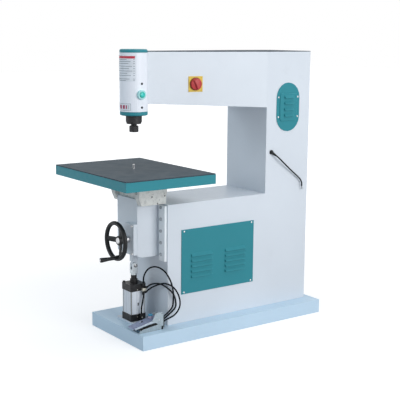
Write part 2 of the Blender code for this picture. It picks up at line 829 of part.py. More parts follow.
def c_outline(inset, floor):
    """Side view of the bench, column and overarm, drawn in from the outside by inset."""
    return (
        (FRAME_FRONT + inset, floor),
        (FRAME_FRONT + inset, BENCH_TOP - inset),
        (THROAT_BACK + inset, BENCH_TOP - inset),
        (THROAT_BACK + inset, ARM_UNDERSIDE_BACK + inset),
        (HEAD_PLACE, ARM_UNDERSIDE_FRONT + inset),
        (HEAD_PLACE, FRAME_TOP - inset),
        (FRAME_BACK - inset, FRAME_TOP - inset),
        (FRAME_BACK - inset, floor),
    )


def wedge_outline(side, inset):
    """Plan view of what the taper takes off one side of the overarm."""
    tip = HEAD_PLACE - OVERRUN
    outside = SIDE_FACE + OVERRUN
    start = THROAT_BACK + inset * math.tan(ARM_TAPER / 2)
    points = ((SIDE_FACE - inset, start), (outside, start), (outside, tip), (arm_half_width(tip, inset), tip))
    return [(side * across, along) for across, along in points]


def c_solid(name, inset, floor):
    solid = plate(name, [c_outline(inset, floor)], inset - SIDE_FACE, SIDE_FACE - inset, "YZ")
    middle = (BENCH_TOP + ARM_UNDERSIDE_BACK) / 2
    wedges = [plate(name + "_taper", [wedge_outline(side, inset)], middle, FRAME_TOP + OVERRUN)
              for side in (1, -1)]
    return cut(solid, *wedges)


def arm_plan(inset, start, end):
    """Plan view of the overarm and column top from start to end."""
    return (
        (SIDE_FACE - inset, end), (inset - SIDE_FACE, end),
        (inset - SIDE_FACE, THROAT_BACK), (-arm_half_width(start, inset), start),
        (arm_half_width(start, inset), start), (SIDE_FACE - inset, THROAT_BACK))


def head_cutter(name, low, high, radius):
    return rod(name, (0, HEAD_PLACE, low), (0, HEAD_PLACE, high), radius, LARGE_SIDES)


def switch_place(out, along=0, up=0):
    """A point on the arm's +X side, measured out from it, along it and up it."""
    middle = Vector((arm_half_width(SWITCH_PLACE), SWITCH_PLACE, SWITCH_HEIGHT))
    outward = Vector((math.cos(ARM_TAPER), -math.sin(ARM_TAPER), 0))
    sideways = Vector((math.sin(ARM_TAPER), math.cos(ARM_TAPER), 0))
    return middle + outward * out + sideways * along + UP * up


def side_box(name, inside, outside, side):
    """A square box on the arm's slanted side."""
    low = Vector((inside, -side / 2, -side / 2))
    high = Vector((outside, side / 2, side / 2))
    obj = box(name, low, high)
    obj.rotation_euler = (0, 0, -ARM_TAPER)
    obj.location = switch_place((inside + outside) / 2)
    return obj


def make_frame():
    shell = c_solid("frame_shell", 0, FLOOR_OF_FRAME)
    hollow = c_solid("frame_hollow", FRAME_SHEET, FLOOR_OF_FRAME - OVERRUN)
    wall_out = SIDE_FACE + OVERRUN
    wall_in = SIDE_FACE - FRAME_SHEET - OVERRUN
    bench_hatch = box(
        "bench_hatch", (wall_in, COVER_FRONT + HATCH_LAND, COVER_BOTTOM + HATCH_LAND),
        (wall_out, COVER_BACK - HATCH_LAND, COVER_TOP - HATCH_LAND))
    motor_hatch = plate(
        "motor_hatch", [stadium(OVAL_PLACE, OVAL_BOTTOM + HATCH_LAND, OVAL_TOP - HATCH_LAND,
                                OVAL_WIDTH - HATCH_LAND)], wall_in, wall_out, "YZ")
    arm_hatch = plate(
        "arm_hatch", [arm_plan(ARM_HATCH_LAND, ARM_NOSE_PLACE, FRAME_BACK - ARM_HATCH_LAND)],
        FRAME_TOP - FRAME_SHEET - OVERRUN, FRAME_TOP + OVERRUN)
    gland_hole = rod(
        "gland_hole", (wall_in, GLAND_PLACE, GLAND_HEIGHT), (wall_out, GLAND_PLACE, GLAND_HEIGHT),
        LEAD_DIAMETER / 2 + SLIDE_GAP, TINY_SIDES)
    switch_hole = side_box(
        "switch_hole", -FRAME_SHEET - OVERRUN, OVERRUN, SWITCH_BODY_SIDE + SLIDE_GAP * 2)
    head_seat = head_cutter(
        "head_seat", ARM_UNDERSIDE_BACK - OVERRUN, FRAME_TOP + OVERRUN, HEAD_RADIUS + GAP)
    part(cut(shell, hollow, head_seat, bench_hatch, motor_hatch, arm_hatch, gland_hole, switch_hole),
         "body_paint")

    cover = plate(
        "arm_top_cover", [arm_plan(0, HEAD_PLACE, FRAME_BACK)], FRAME_TOP + GAP,
        FRAME_TOP + GAP + ARM_COVER_THICKNESS)
    clearance = head_cutter(
        "cover_seat", FRAME_TOP - OVERRUN, FRAME_TOP + ARM_COVER_THICKNESS + OVERRUN, HEAD_RADIUS + GAP)
    part(cut(cover, clearance), "dark_laminate")


# Louvred covers

def louvre_bodies(name, face, places, length):
    """Hoods that stand out of a cover, and the slots that open them downwards."""
    hoods = []
    slots = []
    back = face - COVER_SHEET
    hood = (
        (back + COVER_SHEET / 2, 0), (face + LOUVRE_DEPTH, 0), (face + LOUVRE_DEPTH, LOUVRE_LIP),
        (face, LOUVRE_HEIGHT), (back + COVER_SHEET / 2, LOUVRE_HEIGHT))
    slot = (
        (back - OVERRUN, LOUVRE_LEDGE), (face + LOUVRE_LEDGE, LOUVRE_LEDGE), (face + LOUVRE_LEDGE, -OVERRUN),
        (face + LOUVRE_DEPTH - LOUVRE_SHEET, -OVERRUN),
        (face + LOUVRE_DEPTH - LOUVRE_SHEET, LOUVRE_LIP - LOUVRE_LEDGE),
        (face, LOUVRE_HEIGHT - LOUVRE_SHEET * 2), (back - OVERRUN, LOUVRE_HEIGHT - LOUVRE_SHEET * 2))
    for place, height in places:
        low = place - length / 2
        high = place + length / 2
        hoods.append(plate(name + "_hood", [[(x, z + height) for x, z in hood]], low, high, "XZ"))
        slots.append(plate(
            name + "_slot", [[(x, z + height) for x, z in slot]], low + LOUVRE_SHEET, high - LOUVRE_SHEET,
            "XZ"))
    return gather(name + "_hoods", hoods), gather(name + "_slots", slots)


def screw_holes(name, places, low, high):
    return [rod(name, (low, y, z), (high, y, z), SCREW_HOLE_RADIUS, TINY_SIDES) for y, z in places]


def bench_screw_places():
    return [(y, z) for y in (COVER_FRONT + COVER_SCREW_SIDE, COVER_BACK - COVER_SCREW_SIDE)
            for z in (COVER_BOTTOM + COVER_SCREW_END, COVER_TOP - COVER_SCREW_END)]


def oval_screw_places():
    return [(OVAL_PLACE + side * OVAL_SCREW_SPREAD / 2, z) for side in (1, -1)
            for z in (OVAL_SCREW_LOW, OVAL_SCREW_HIGH)]


def make_covers():
    inner = SIDE_FACE + GAP
    face = inner + COVER_SHEET
    middle = (COVER_FRONT + COVER_BACK) / 2
    cover = box("lower_side_cover", (inner, COVER_FRONT, COVER_BOTTOM), (face, COVER_BACK, COVER_TOP))
    rows = [(middle + side * LOUVRE_BANK_PLACE, LOUVRE_FIRST + row * LOUVRE_PITCH)
            for side in (1, -1) for row in range(LOUVRE_ROWS)]
    hoods, slots = louvre_bodies("bench", face, rows, LOUVRE_LENGTH)
    cut(fuse(cover, hoods), slots)
    cut(cover, gather("bench_screw_holes", screw_holes(
        "bench_screw_hole", bench_screw_places(), inner - OVERRUN, face + OVERRUN)))
    part(cover, "teal_paint")

    oval = plate(
        "oval_motor_cover", [stadium(OVAL_PLACE, OVAL_BOTTOM, OVAL_TOP, OVAL_WIDTH)], inner, face, "YZ")
    half = OVAL_PANEL_WIDTH / 2
    raised = face + OVAL_PANEL_RISE
    panel = plate(
        "oval_panel", [rounded_outline(OVAL_PLACE - half, OVAL_PANEL_BOTTOM, OVAL_PLACE + half,
                                       OVAL_PANEL_TOP,
                                       OVAL_PANEL_CORNER)], face - COVER_SHEET / 2, raised, "YZ")
    bevel(panel, OVAL_PANEL_WALL)
    inset = half - OVAL_PANEL_WALL
    pocket = plate(
        "oval_pocket", [rounded_outline(
            OVAL_PLACE - inset, OVAL_PANEL_BOTTOM + OVAL_PANEL_WALL, OVAL_PLACE + inset,
            OVAL_PANEL_TOP - OVAL_PANEL_WALL, OVAL_PANEL_CORNER - OVAL_PANEL_WALL)],
        inner - OVERRUN, raised - COVER_SHEET, "YZ")
    rows = [(OVAL_PLACE, OVAL_LOUVRE_LOW + row * OVAL_LOUVRE_PITCH) for row in range(OVAL_LOUVRE_ROWS)]
    hoods, slots = louvre_bodies("oval", raised, rows, OVAL_LOUVRE_LENGTH)
    cut(fuse(oval, panel), pocket)
    cut(fuse(oval, hoods), slots)
    cut(oval, gather("oval_screw_holes", screw_holes(
        "oval_screw_hole", oval_screw_places(), inner - OVERRUN, face + OVERRUN)))
    part(oval, "teal_paint")


# Spindle head

def make_head():
    place = (0, HEAD_PLACE, 0)
    housing = turned("head_housing", (
        (HEAD_RADIUS, HEAD_TOP), (HEAD_RADIUS, HEAD_BOTTOM), (COLLAR_BORE, HEAD_BOTTOM),
        (COLLAR_BORE, HEAD_BOTTOM + HEAD_COLLAR_HEIGHT), (HEAD_BORE, HEAD_BOTTOM + HEAD_COLLAR_HEIGHT),
        (HEAD_BORE, HEAD_TOP)), place, sides=LARGE_SIDES)
    window = box(
        "belt_window", (-BELT_WINDOW_WIDTH / 2, HEAD_PLACE, BELT_WINDOW_LOW),
        (BELT_WINDOW_WIDTH / 2, HEAD_PLACE + HEAD_RADIUS + OVERRUN, BELT_WINDOW_HIGH))
    button_hole = rod(
        "button_hole", (0, HEAD_PLACE, BUTTON_HEIGHT), (HEAD_RADIUS + OVERRUN, HEAD_PLACE, BUTTON_HEIGHT),
        BUTTON_STEM_RADIUS + SLIDE_GAP, SMALL_SIDES)
    part(cut(housing, window, button_hole), "body_paint")

    low = HEAD_TOP + GAP
    high = low + CAP_HEIGHT
    radius = HEAD_RADIUS - CAP_INSET
    edge = arc(radius - CAP_EDGE_RADIUS, high - CAP_EDGE_RADIUS, CAP_EDGE_RADIUS, TURN / 4, 0, CAP_ARC_STEPS)
    part(turned("head_top_cap", [(0, high)] + edge + [(radius, low), (0, low)], place, sides=LARGE_SIDES),
         "teal_paint")

    high = HEAD_BOTTOM - GAP
    low = high - RING_HEIGHT
    edge = arc(radius - RING_EDGE_RADIUS, low + RING_EDGE_RADIUS, RING_EDGE_RADIUS, 0, -TURN / 4,
               CAP_ARC_STEPS)
    profile = [(radius, high)] + edge + [(COLLAR_BORE, low), (COLLAR_BORE, high)]
    part(turned("head_bottom_ring", profile, place, sides=LARGE_SIDES), "teal_paint")


def make_cartridge():
    place = (0, HEAD_PLACE, 0)
    bore = BEARING_RADIUS + GAP
    lip_bottom = NOSE_BOTTOM - NOSE_LIP_HEIGHT
    shoulder = LOWER_BEARING + BEARING_WIDTH + GAP
    upper_seat = UPPER_BEARING - GAP
    nose = turned("bearing_nose", (
        (NOSE_RADIUS, NOSE_TOP), (NOSE_RADIUS, NOSE_BOTTOM), (NOSE_LIP_RADIUS, NOSE_BOTTOM),
        (NOSE_LIP_RADIUS, lip_bottom + NOSE_LIP_EDGE), (NOSE_LIP_RADIUS - NOSE_LIP_EDGE, lip_bottom),
        (NOSE_LIP_BORE_RADIUS, lip_bottom), (NOSE_LIP_BORE_RADIUS, LOWER_BEARING - GAP),
        (bore, LOWER_BEARING - GAP),
        (bore, shoulder), (NOSE_BORE_RADIUS, shoulder), (NOSE_BORE_RADIUS, upper_seat), (bore, upper_seat),
        (bore, NOSE_TOP)), place, sides=LARGE_SIDES)
    notches = []
    for index in range(NOTCH_COUNT):
        notch = box(
            "nose_notch", (NOSE_LIP_RADIUS - NOTCH_DEPTH, -NOTCH_WIDTH / 2, lip_bottom - OVERRUN),
            (NOSE_RADIUS + OVERRUN, NOTCH_WIDTH / 2, NOSE_BOTTOM - GAP))
        angle = (index + 1 / 2) * TURN / NOTCH_COUNT
        turn = Matrix.Rotation(angle, 4, "Z")
        notch.location = turn @ notch.location + Vector(place)
        notch.rotation_euler = (0, 0, angle)
        notches.append(notch)
    part(cut(nose, gather("nose_notches", notches)), "black_steel")

    inner = SPINDLE_RADIUS + GAP
    middle = (inner + BEARING_RADIUS) / 2
    seal = BEARING_SEAL_WIDTH / 2
    for name, low in (("lower_bearing", LOWER_BEARING), ("upper_bearing", UPPER_BEARING)):
        high = low + BEARING_WIDTH
        part(turned(name, (
            (BEARING_RADIUS, high), (BEARING_RADIUS, low), (middle + seal, low),
            (middle, low + BEARING_SEAL_DEPTH),
            (middle - seal, low), (inner, low), (inner, high)), place), "bright_steel")


def make_spindle(body):
    place = (0, HEAD_PLACE, 0)
    low = LOWER_BEARING + BEARING_WIDTH + GAP
    high = UPPER_BEARING - GAP
    top = SPINDLE_TOP
    socket_top = COLLET_TOP + GAP
    part(turned("spindle_shaft", (
        (0, top), (SPINDLE_RADIUS, top), (SPINDLE_RADIUS, high), (SPINDLE_SHOULDER_RADIUS, high),
        (SPINDLE_SHOULDER_RADIUS, low), (SPINDLE_RADIUS, low), (SPINDLE_RADIUS, LOWER_BEARING),
        (SPINDLE_NECK_RADIUS, LOWER_BEARING), (SPINDLE_NECK_RADIUS, SPINDLE_BOTTOM),
        (COLLET_SOCKET_RADIUS, SPINDLE_BOTTOM), (COLLET_SOCKET_RADIUS, socket_top), (0, socket_top)), place),
        "bright_steel", body)

    outer = COLLET_SOCKET_RADIUS - GAP
    collet = turned("collet", (
        (outer, COLLET_TOP), (outer, COLLET_BOTTOM), (COLLET_BORE_RADIUS, COLLET_BOTTOM),
        (COLLET_BORE_RADIUS, COLLET_TOP)), place, sides=SMALL_SIDES)
    slots = []
    for index in range(COLLET_SLOT_PAIRS):
        slot = box(
            "collet_slot", (-outer - OVERRUN, -COLLET_SLOT_WIDTH / 2, COLLET_BOTTOM - OVERRUN),
            (outer + OVERRUN, COLLET_SLOT_WIDTH / 2, COLLET_BOTTOM + COLLET_SLOT_LENGTH))
        slot.location.y = HEAD_PLACE
        slot.rotation_euler = (0, 0, (index + 1 / 4) * TURN / 4)
        slots.append(slot)
    part(cut(collet, *slots), "bright_steel", body)

    bore = SPINDLE_NECK_RADIUS + GAP
    inside = SPINDLE_BOTTOM - GAP
    chamfer = COLLET_NUT_CHAMFER
    nut = turned("collet_nut", (
        (COLLET_NUT_RADIUS - chamfer, COLLET_NUT_TOP), (COLLET_NUT_RADIUS, COLLET_NUT_TOP - chamfer),
        (COLLET_NUT_RADIUS, COLLET_NUT_BOTTOM + chamfer), (COLLET_NUT_RADIUS - chamfer, COLLET_NUT_BOTTOM),
        (COLLET_SOCKET_RADIUS, COLLET_NUT_BOTTOM), (COLLET_SOCKET_RADIUS, inside), (bore, inside),
        (bore, COLLET_NUT_TOP)), place)
    grooves = []
    for index in range(COLLET_NUT_GROOVES):
        angle = index * TURN / COLLET_NUT_GROOVES
        x = COLLET_NUT_RADIUS * math.cos(angle)
        y = HEAD_PLACE + COLLET_NUT_RADIUS * math.sin(angle)
        grooves.append(rod(
            "nut_groove", (x, y, COLLET_NUT_BOTTOM - OVERRUN), (x, y, COLLET_NUT_TOP + OVERRUN),
            COLLET_NUT_GROOVE_RADIUS, HEX_SIDES))
    part(cut(nut, gather("nut_grooves", grooves)), "black_steel", body)


def pulley(name, place, radius, bore, web):
    """A flat-belt pulley with a crowned face between two low flanges."""
    low = PULLEY_BOTTOM
    high = PULLEY_TOP
    rim = radius - PULLEY_FLANGE
    face_low = low + PULLEY_FLANGE
    face_high = high - PULLEY_FLANGE
    outside = [(radius, high), (radius, face_high), (rim, face_high - PULLEY_FLANGE / 2),
               (rim, face_low + PULLEY_FLANGE / 2), (radius, face_low), (radius, low)]
    inside = [(bore, low), (bore, high)]
    if web:
        middle = (low + high) / 2
        inner = rim - PULLEY_RIM
        inside = [
            (inner, low), (inner, middle - web / 2), (PULLEY_HUB_RADIUS, middle - web / 2),
            (PULLEY_HUB_RADIUS, low),
            (bore, low), (bore, high), (PULLEY_HUB_RADIUS, high), (PULLEY_HUB_RADIUS, middle + web / 2),
            (inner, middle + web / 2), (inner, high)]
    return turned(name, outside + inside, (0, place, 0), sides=ROUND_SIDES)


def belt_outline(offset):
    """The loop round both pulleys, offset from their faces, with its flats clear of the round ones."""
    large = MOTOR_PULLEY_RADIUS - PULLEY_FLANGE + offset
    small = SPINDLE_PULLEY_RADIUS - PULLEY_FLANGE + offset
    lean = math.asin((large - small) / (MOTOR_PLACE - HEAD_PLACE))
    clear = 1 / math.cos((math.pi + 2 * lean) / BELT_ARC_STEPS / 2)
    return (arc(0, MOTOR_PLACE, large * clear, -lean, math.pi + lean, BELT_ARC_STEPS)
            + arc(0, HEAD_PLACE, small * clear, math.pi + lean, TURN - lean, BELT_ARC_STEPS))


def make_drive(spindle_body, rotor_body):
    part(pulley("spindle_pulley", HEAD_PLACE, SPINDLE_PULLEY_RADIUS, SPINDLE_RADIUS + GAP, 0), "cast_iron",
         spindle_body)
    part(pulley("motor_pulley", MOTOR_PLACE, MOTOR_PULLEY_RADIUS, MOTOR_SHAFT_RADIUS + GAP, PULLEY_WEB),
         "cast_iron",
         rotor_body)
    middle = (PULLEY_BOTTOM + PULLEY_TOP) / 2
    part(plate("drive_belt", [belt_outline(GAP + BELT_THICKNESS), belt_outline(GAP)], middle - BELT_WIDTH / 2,
               middle + BELT_WIDTH / 2), "belt_rubber")


# Motor

def fin_outline():
    points = []
    step = TURN / MOTOR_FIN_COUNT
    for index in range(MOTOR_FIN_COUNT):
        start = index * step
        end = start + step * MOTOR_FIN_SHARE
        for angle, radius in ((start, MOTOR_CORE_RADIUS), (start, MOTOR_RADIUS), (end, MOTOR_RADIUS),
                              (end, MOTOR_CORE_RADIUS)):
            points.append((radius * math.cos(angle), MOTOR_PLACE + radius * math.sin(angle)))
    return points


def make_motor(rotor_body):
    place = (0, MOTOR_PLACE, 0)
    body = plate("motor_body", [fin_outline()], MOTOR_BOTTOM, MOTOR_TOP)
    flange_top = MOTOR_FLANGE_BOTTOM + MOTOR_FLANGE_THICKNESS
    flange = rod("motor_flange", (0, MOTOR_PLACE, MOTOR_FLANGE_BOTTOM - OVERRUN),
                 (0, MOTOR_PLACE, flange_top),
                 MOTOR_FLANGE_RADIUS, LARGE_SIDES)
    low = MOTOR_BOTTOM - FAN_COVER_HEIGHT
    fan_radius = MOTOR_RADIUS + GAP
    fan = turned("fan_cover", (
        (0, MOTOR_BOTTOM + OVERRUN), (fan_radius, MOTOR_BOTTOM + OVERRUN), (fan_radius, low + FAN_COVER_EDGE),
        (fan_radius - FAN_COVER_EDGE, low), (0, low)), place)
    shaft_low = MOTOR_TOP - MOTOR_SHAFT_REACH
    bore = rod("shaft_bore", (0, MOTOR_PLACE, shaft_low - GAP), (0, MOTOR_PLACE, flange_top + OVERRUN),
               MOTOR_SHAFT_RADIUS + GAP)
    part(cut(fuse(body, flange, fan), bore), "motor_paint")
    part(rod("motor_shaft", (0, MOTOR_PLACE, shaft_low), (0, MOTOR_PLACE, PULLEY_TOP), MOTOR_SHAFT_RADIUS),
         "bright_steel", rotor_body)

    inner = SIDE_FACE - FRAME_SHEET - GAP
    front = THROAT_BACK + FRAME_SHEET + GAP
    back = FRAME_BACK - FRAME_SHEET - GAP
    mount = plate("motor_mount", [((-inner, front), (inner, front), (inner, back), (-inner, back)),
                                  circle(0, MOTOR_PLACE, MOTOR_PLATE_HOLE_RADIUS)],
                  MOTOR_PLATE_BOTTOM, MOTOR_PLATE_BOTTOM + MOTOR_PLATE_THICKNESS)
    part(mount, "cast_iron")


# Switch and button

def make_switch(knob_body):
    outward = (switch_place(OVERRUN) - switch_place(0)).normalized()
    face = GAP + SWITCH_PLATE_THICKNESS
    base = side_box("switch_plate", GAP, face, SWITCH_PLATE_SIDE)
    block = side_box("switch_block", -SWITCH_BODY_DEPTH, GAP + SWITCH_PLATE_THICKNESS / 2, SWITCH_BODY_SIDE)
    bore_depth = SWITCH_BODY_DEPTH / 2
    bore = rod("switch_bore", switch_place(-bore_depth - GAP), switch_place(face + OVERRUN),
               SWITCH_STEM_RADIUS + GAP, SMALL_SIDES)
    part(cut(fuse(base, block), bore), "yellow_plastic")

    top = SWITCH_KNOB_LOW + SWITCH_KNOB_HEIGHT
    knob = turned("switch_knob", (
        (0, top), (SWITCH_KNOB_RADIUS - BUTTON_EDGE, top), (SWITCH_KNOB_RADIUS, top - BUTTON_EDGE),
        (SWITCH_KNOB_RADIUS, face + GAP), (SWITCH_STEM_RADIUS, face + GAP), (SWITCH_STEM_RADIUS, -bore_depth),
        (0, -bore_depth)), switch_place(0), outward)
    grip = side_box("knob_grip", top - OVERRUN, top + SWITCH_GRIP_HEIGHT,
                    SWITCH_KNOB_RADIUS * 2 - BUTTON_EDGE * 2)
    grip.scale = (1, SWITCH_GRIP_WIDTH / (SWITCH_KNOB_RADIUS * 2), 1)
    part(fuse(knob, grip), "red_plastic", knob_body)


def make_button(button_body):
    collar = turned("button_collar", (
        (BUTTON_COLLAR_RADIUS - BUTTON_EDGE, BUTTON_COLLAR_FACE),
        (BUTTON_COLLAR_RADIUS, BUTTON_COLLAR_FACE - BUTTON_EDGE),
        (BUTTON_COLLAR_RADIUS, HEAD_BORE), (BUTTON_STEM_RADIUS + GAP, HEAD_BORE),
        (BUTTON_STEM_RADIUS + GAP, BUTTON_WELL_FLOOR), (BUTTON_WELL_RADIUS, BUTTON_WELL_FLOOR),
        (BUTTON_WELL_RADIUS, BUTTON_COLLAR_FACE)), (0, HEAD_PLACE, BUTTON_HEIGHT), (1, 0, 0))
    half = BUTTON_COLLAR_RADIUS + OVERRUN
    saddle = head_cutter("collar_saddle", BUTTON_HEIGHT - half, BUTTON_HEIGHT + half, HEAD_RADIUS + GAP)
    part(cut(collar, saddle), "white_plastic")
    stem_end = HEAD_RADIUS - BUTTON_STEM_REACH
    part(turned("start_button", (
        (0, BUTTON_FACE), (BUTTON_RADIUS - BUTTON_EDGE, BUTTON_FACE),
        (BUTTON_RADIUS, BUTTON_FACE - BUTTON_EDGE),
        (BUTTON_RADIUS, BUTTON_BACK), (BUTTON_STEM_RADIUS, BUTTON_BACK), (BUTTON_STEM_RADIUS, stem_end),
        (0, stem_end)),
        (0, HEAD_PLACE, BUTTON_HEIGHT), (1, 0, 0)), "green_plastic", button_body)


# Slideway keepers

def make_keepers():
    back = FRAME_FRONT - GAP
    inner = SLIDE_PLATE_WIDTH / 2 + SLIDE_GAP
    outline = (
        (inner, back), (KEEPER_OUTER, back), (KEEPER_OUTER, KEEPER_FACE), (KEEPER_LIP_INNER, KEEPER_FACE),
        (KEEPER_LIP_INNER, KEEPER_LIP_BACK), (inner, KEEPER_LIP_BACK))
    for name, side in (("right_keeper", 1), ("left_keeper", -1)):
        keeper = plate(name, [[(side * x, y) for x, y in outline]], KEEPER_BOTTOM, KEEPER_TOP)
        x = side * KEEPER_BOLT_SIDE
        heights = [KEEPER_BOLT_TOP - row * KEEPER_BOLT_PITCH for row in range(KEEPER_BOLT_ROWS)]
        holes = [rod("keeper_hole", (x, KEEPER_FACE - OVERRUN, z), (x, back + OVERRUN, z),
                     BOLT_HOLE_RADIUS, TINY_SIDES) for z in heights]
        part(cut(keeper, gather("keeper_holes", holes)), "body_paint")


# Knee with its gearbox and lug

def knee_outline(inset):
    front = KNEE_FRONT + inset
    bottom = KNEE_BOTTOM + inset
    curve = arc(front + KNEE_CURVE_LENGTH, bottom + KNEE_CURVE_RISE, KNEE_CURVE_LENGTH, -TURN / 4, -TURN / 2,
                KNEE_CURVE_STEPS, KNEE_CURVE_RISE)
    back = SLIDE_PLATE_FRONT + OVERRUN
    return [(back, bottom)] + curve + [(front, KNEE_TOP), (back, KNEE_TOP)]


def make_knee(body):
    half = KNEE_WIDTH / 2
    knee = plate("knee_casting", [knee_outline(0)], -half, half, "YZ")
    slide = box("slide_plate", (-SLIDE_PLATE_WIDTH / 2, SLIDE_PLATE_FRONT, KNEE_BOTTOM),
                (SLIDE_PLATE_WIDTH / 2, FRAME_FRONT - GAP, SLIDE_PLATE_TOP))
    gearbox = box("gearbox", (GEARBOX_LEFT, GEARBOX_FRONT, GEARBOX_BOTTOM),
                  (GEARBOX_RIGHT, KNEE_FRONT + OVERRUN, GEARBOX_TOP))
    bevel(gearbox, GEARBOX_EDGE, 2)
    shoulder = box("lug_shoulder", (-LUG_HALF_WIDTH, LUG_PLACE - LUG_HALF_DEPTH, LUG_SHOULDER),
                   (LUG_HALF_WIDTH, LUG_PLACE + LUG_HALF_DEPTH, KNEE_BOTTOM + KNEE_CURVE_RISE))
    bottom = TONGUE_BOTTOM
    radius = TONGUE_HALF_DEPTH
    tongue = plate("lug_tongue", [
        arc(LUG_PLACE, bottom + radius, radius, math.pi, TURN, KNEE_CURVE_STEPS)
        + [(LUG_PLACE + radius, LUG_SHOULDER + OVERRUN), (LUG_PLACE - radius, LUG_SHOULDER + OVERRUN)]],
        -TONGUE_HALF_WIDTH, TONGUE_HALF_WIDTH, "YZ")
    fuse(knee, slide, gearbox, shoulder, tongue)
    cavity = box("knee_cavity", (KNEE_WALL - half, KNEE_FRONT + KNEE_WALL, KNEE_BOTTOM + KNEE_FLOOR),
                 (half - KNEE_WALL, KNEE_CAVITY_BACK, KNEE_TOP + OVERRUN))
    journal = rod("screw_journal", (0, SCREW_PLACE, JOURNAL_FLOOR),
                  (0, SCREW_PLACE, KNEE_BOTTOM + KNEE_FLOOR + OVERRUN),
                  SCREW_RADIUS + GAP)
    worm_bore = rod("worm_bore", (WHEEL_AXIS_SIDE, GEARBOX_FRONT - OVERRUN, WHEEL_AXIS_HEIGHT),
                    (WHEEL_AXIS_SIDE, KNEE_CAVITY_BACK + KNEE_WALL, WHEEL_AXIS_HEIGHT), WORM_BORE,
                    SMALL_SIDES)
    pin_hole = rod("lug_hole", (-TONGUE_HALF_WIDTH - OVERRUN, LUG_PLACE, CLEVIS_PIN_HEIGHT),
                   (TONGUE_HALF_WIDTH + OVERRUN, LUG_PLACE, CLEVIS_PIN_HEIGHT), CLEVIS_PIN_RADIUS + GAP,
                   SMALL_SIDES)
    part(cut(knee, cavity, journal, worm_bore, pin_hole), "body_paint", body)

    front = GEARBOX_FRONT - GAP
    bush = turned("worm_bush", (
        (BUSH_RADIUS - BUSH_EDGE, BUSH_LENGTH), (BUSH_RADIUS, BUSH_LENGTH - BUSH_EDGE), (BUSH_RADIUS, 0),
        (WORM_BORE, 0), (WORM_BORE, BUSH_LENGTH)), (WHEEL_AXIS_SIDE, front, WHEEL_AXIS_HEIGHT), (0, -1, 0))
    part(bush, "bright_steel", body)


def gear_outline(x, y):
    points = []
    step = TURN / WHEEL_TEETH
    root = WHEEL_RADIUS - WHEEL_TOOTH_DEPTH
    for index in range(WHEEL_TEETH):
        start = index * step
        crest = step * WHEEL_TOOTH_SHARE / 2
        for angle, radius in ((start - crest, root), (start - crest / 2, WHEEL_RADIUS),
                              (start + crest / 2, WHEEL_RADIUS), (start + crest, root)):
            points.append((x + radius * math.cos(angle), y + radius * math.sin(angle)))
    return points


def make_lift_screw(body):
    part(turned("lift_screw", (
        (0, SCREW_TOP), (SCREW_RADIUS - SCREW_TIP, SCREW_TOP), (SCREW_RADIUS, SCREW_TOP - SCREW_TIP),
        (SCREW_RADIUS, JOURNAL_FLOOR + GAP), (0, JOURNAL_FLOOR + GAP)),
        (0, SCREW_PLACE, 0), sides=SMALL_SIDES), "bright_steel", body)
    wheel = plate("worm_wheel", [gear_outline(0, SCREW_PLACE)], WHEEL_BOTTOM, WHEEL_TOP)
    floor = KNEE_BOTTOM + KNEE_FLOOR + GAP
    hub = rod("wheel_hub", (0, SCREW_PLACE, floor), (0, SCREW_PLACE, WHEEL_BOTTOM + OVERRUN),
              WHEEL_HUB_RADIUS)
    bore = rod("wheel_bore", (0, SCREW_PLACE, floor - OVERRUN), (0, SCREW_PLACE, WHEEL_TOP + OVERRUN),
               SCREW_RADIUS + GAP, SMALL_SIDES)
    part(cut(fuse(wheel, hub), bore), "brass", body)


# Handwheel

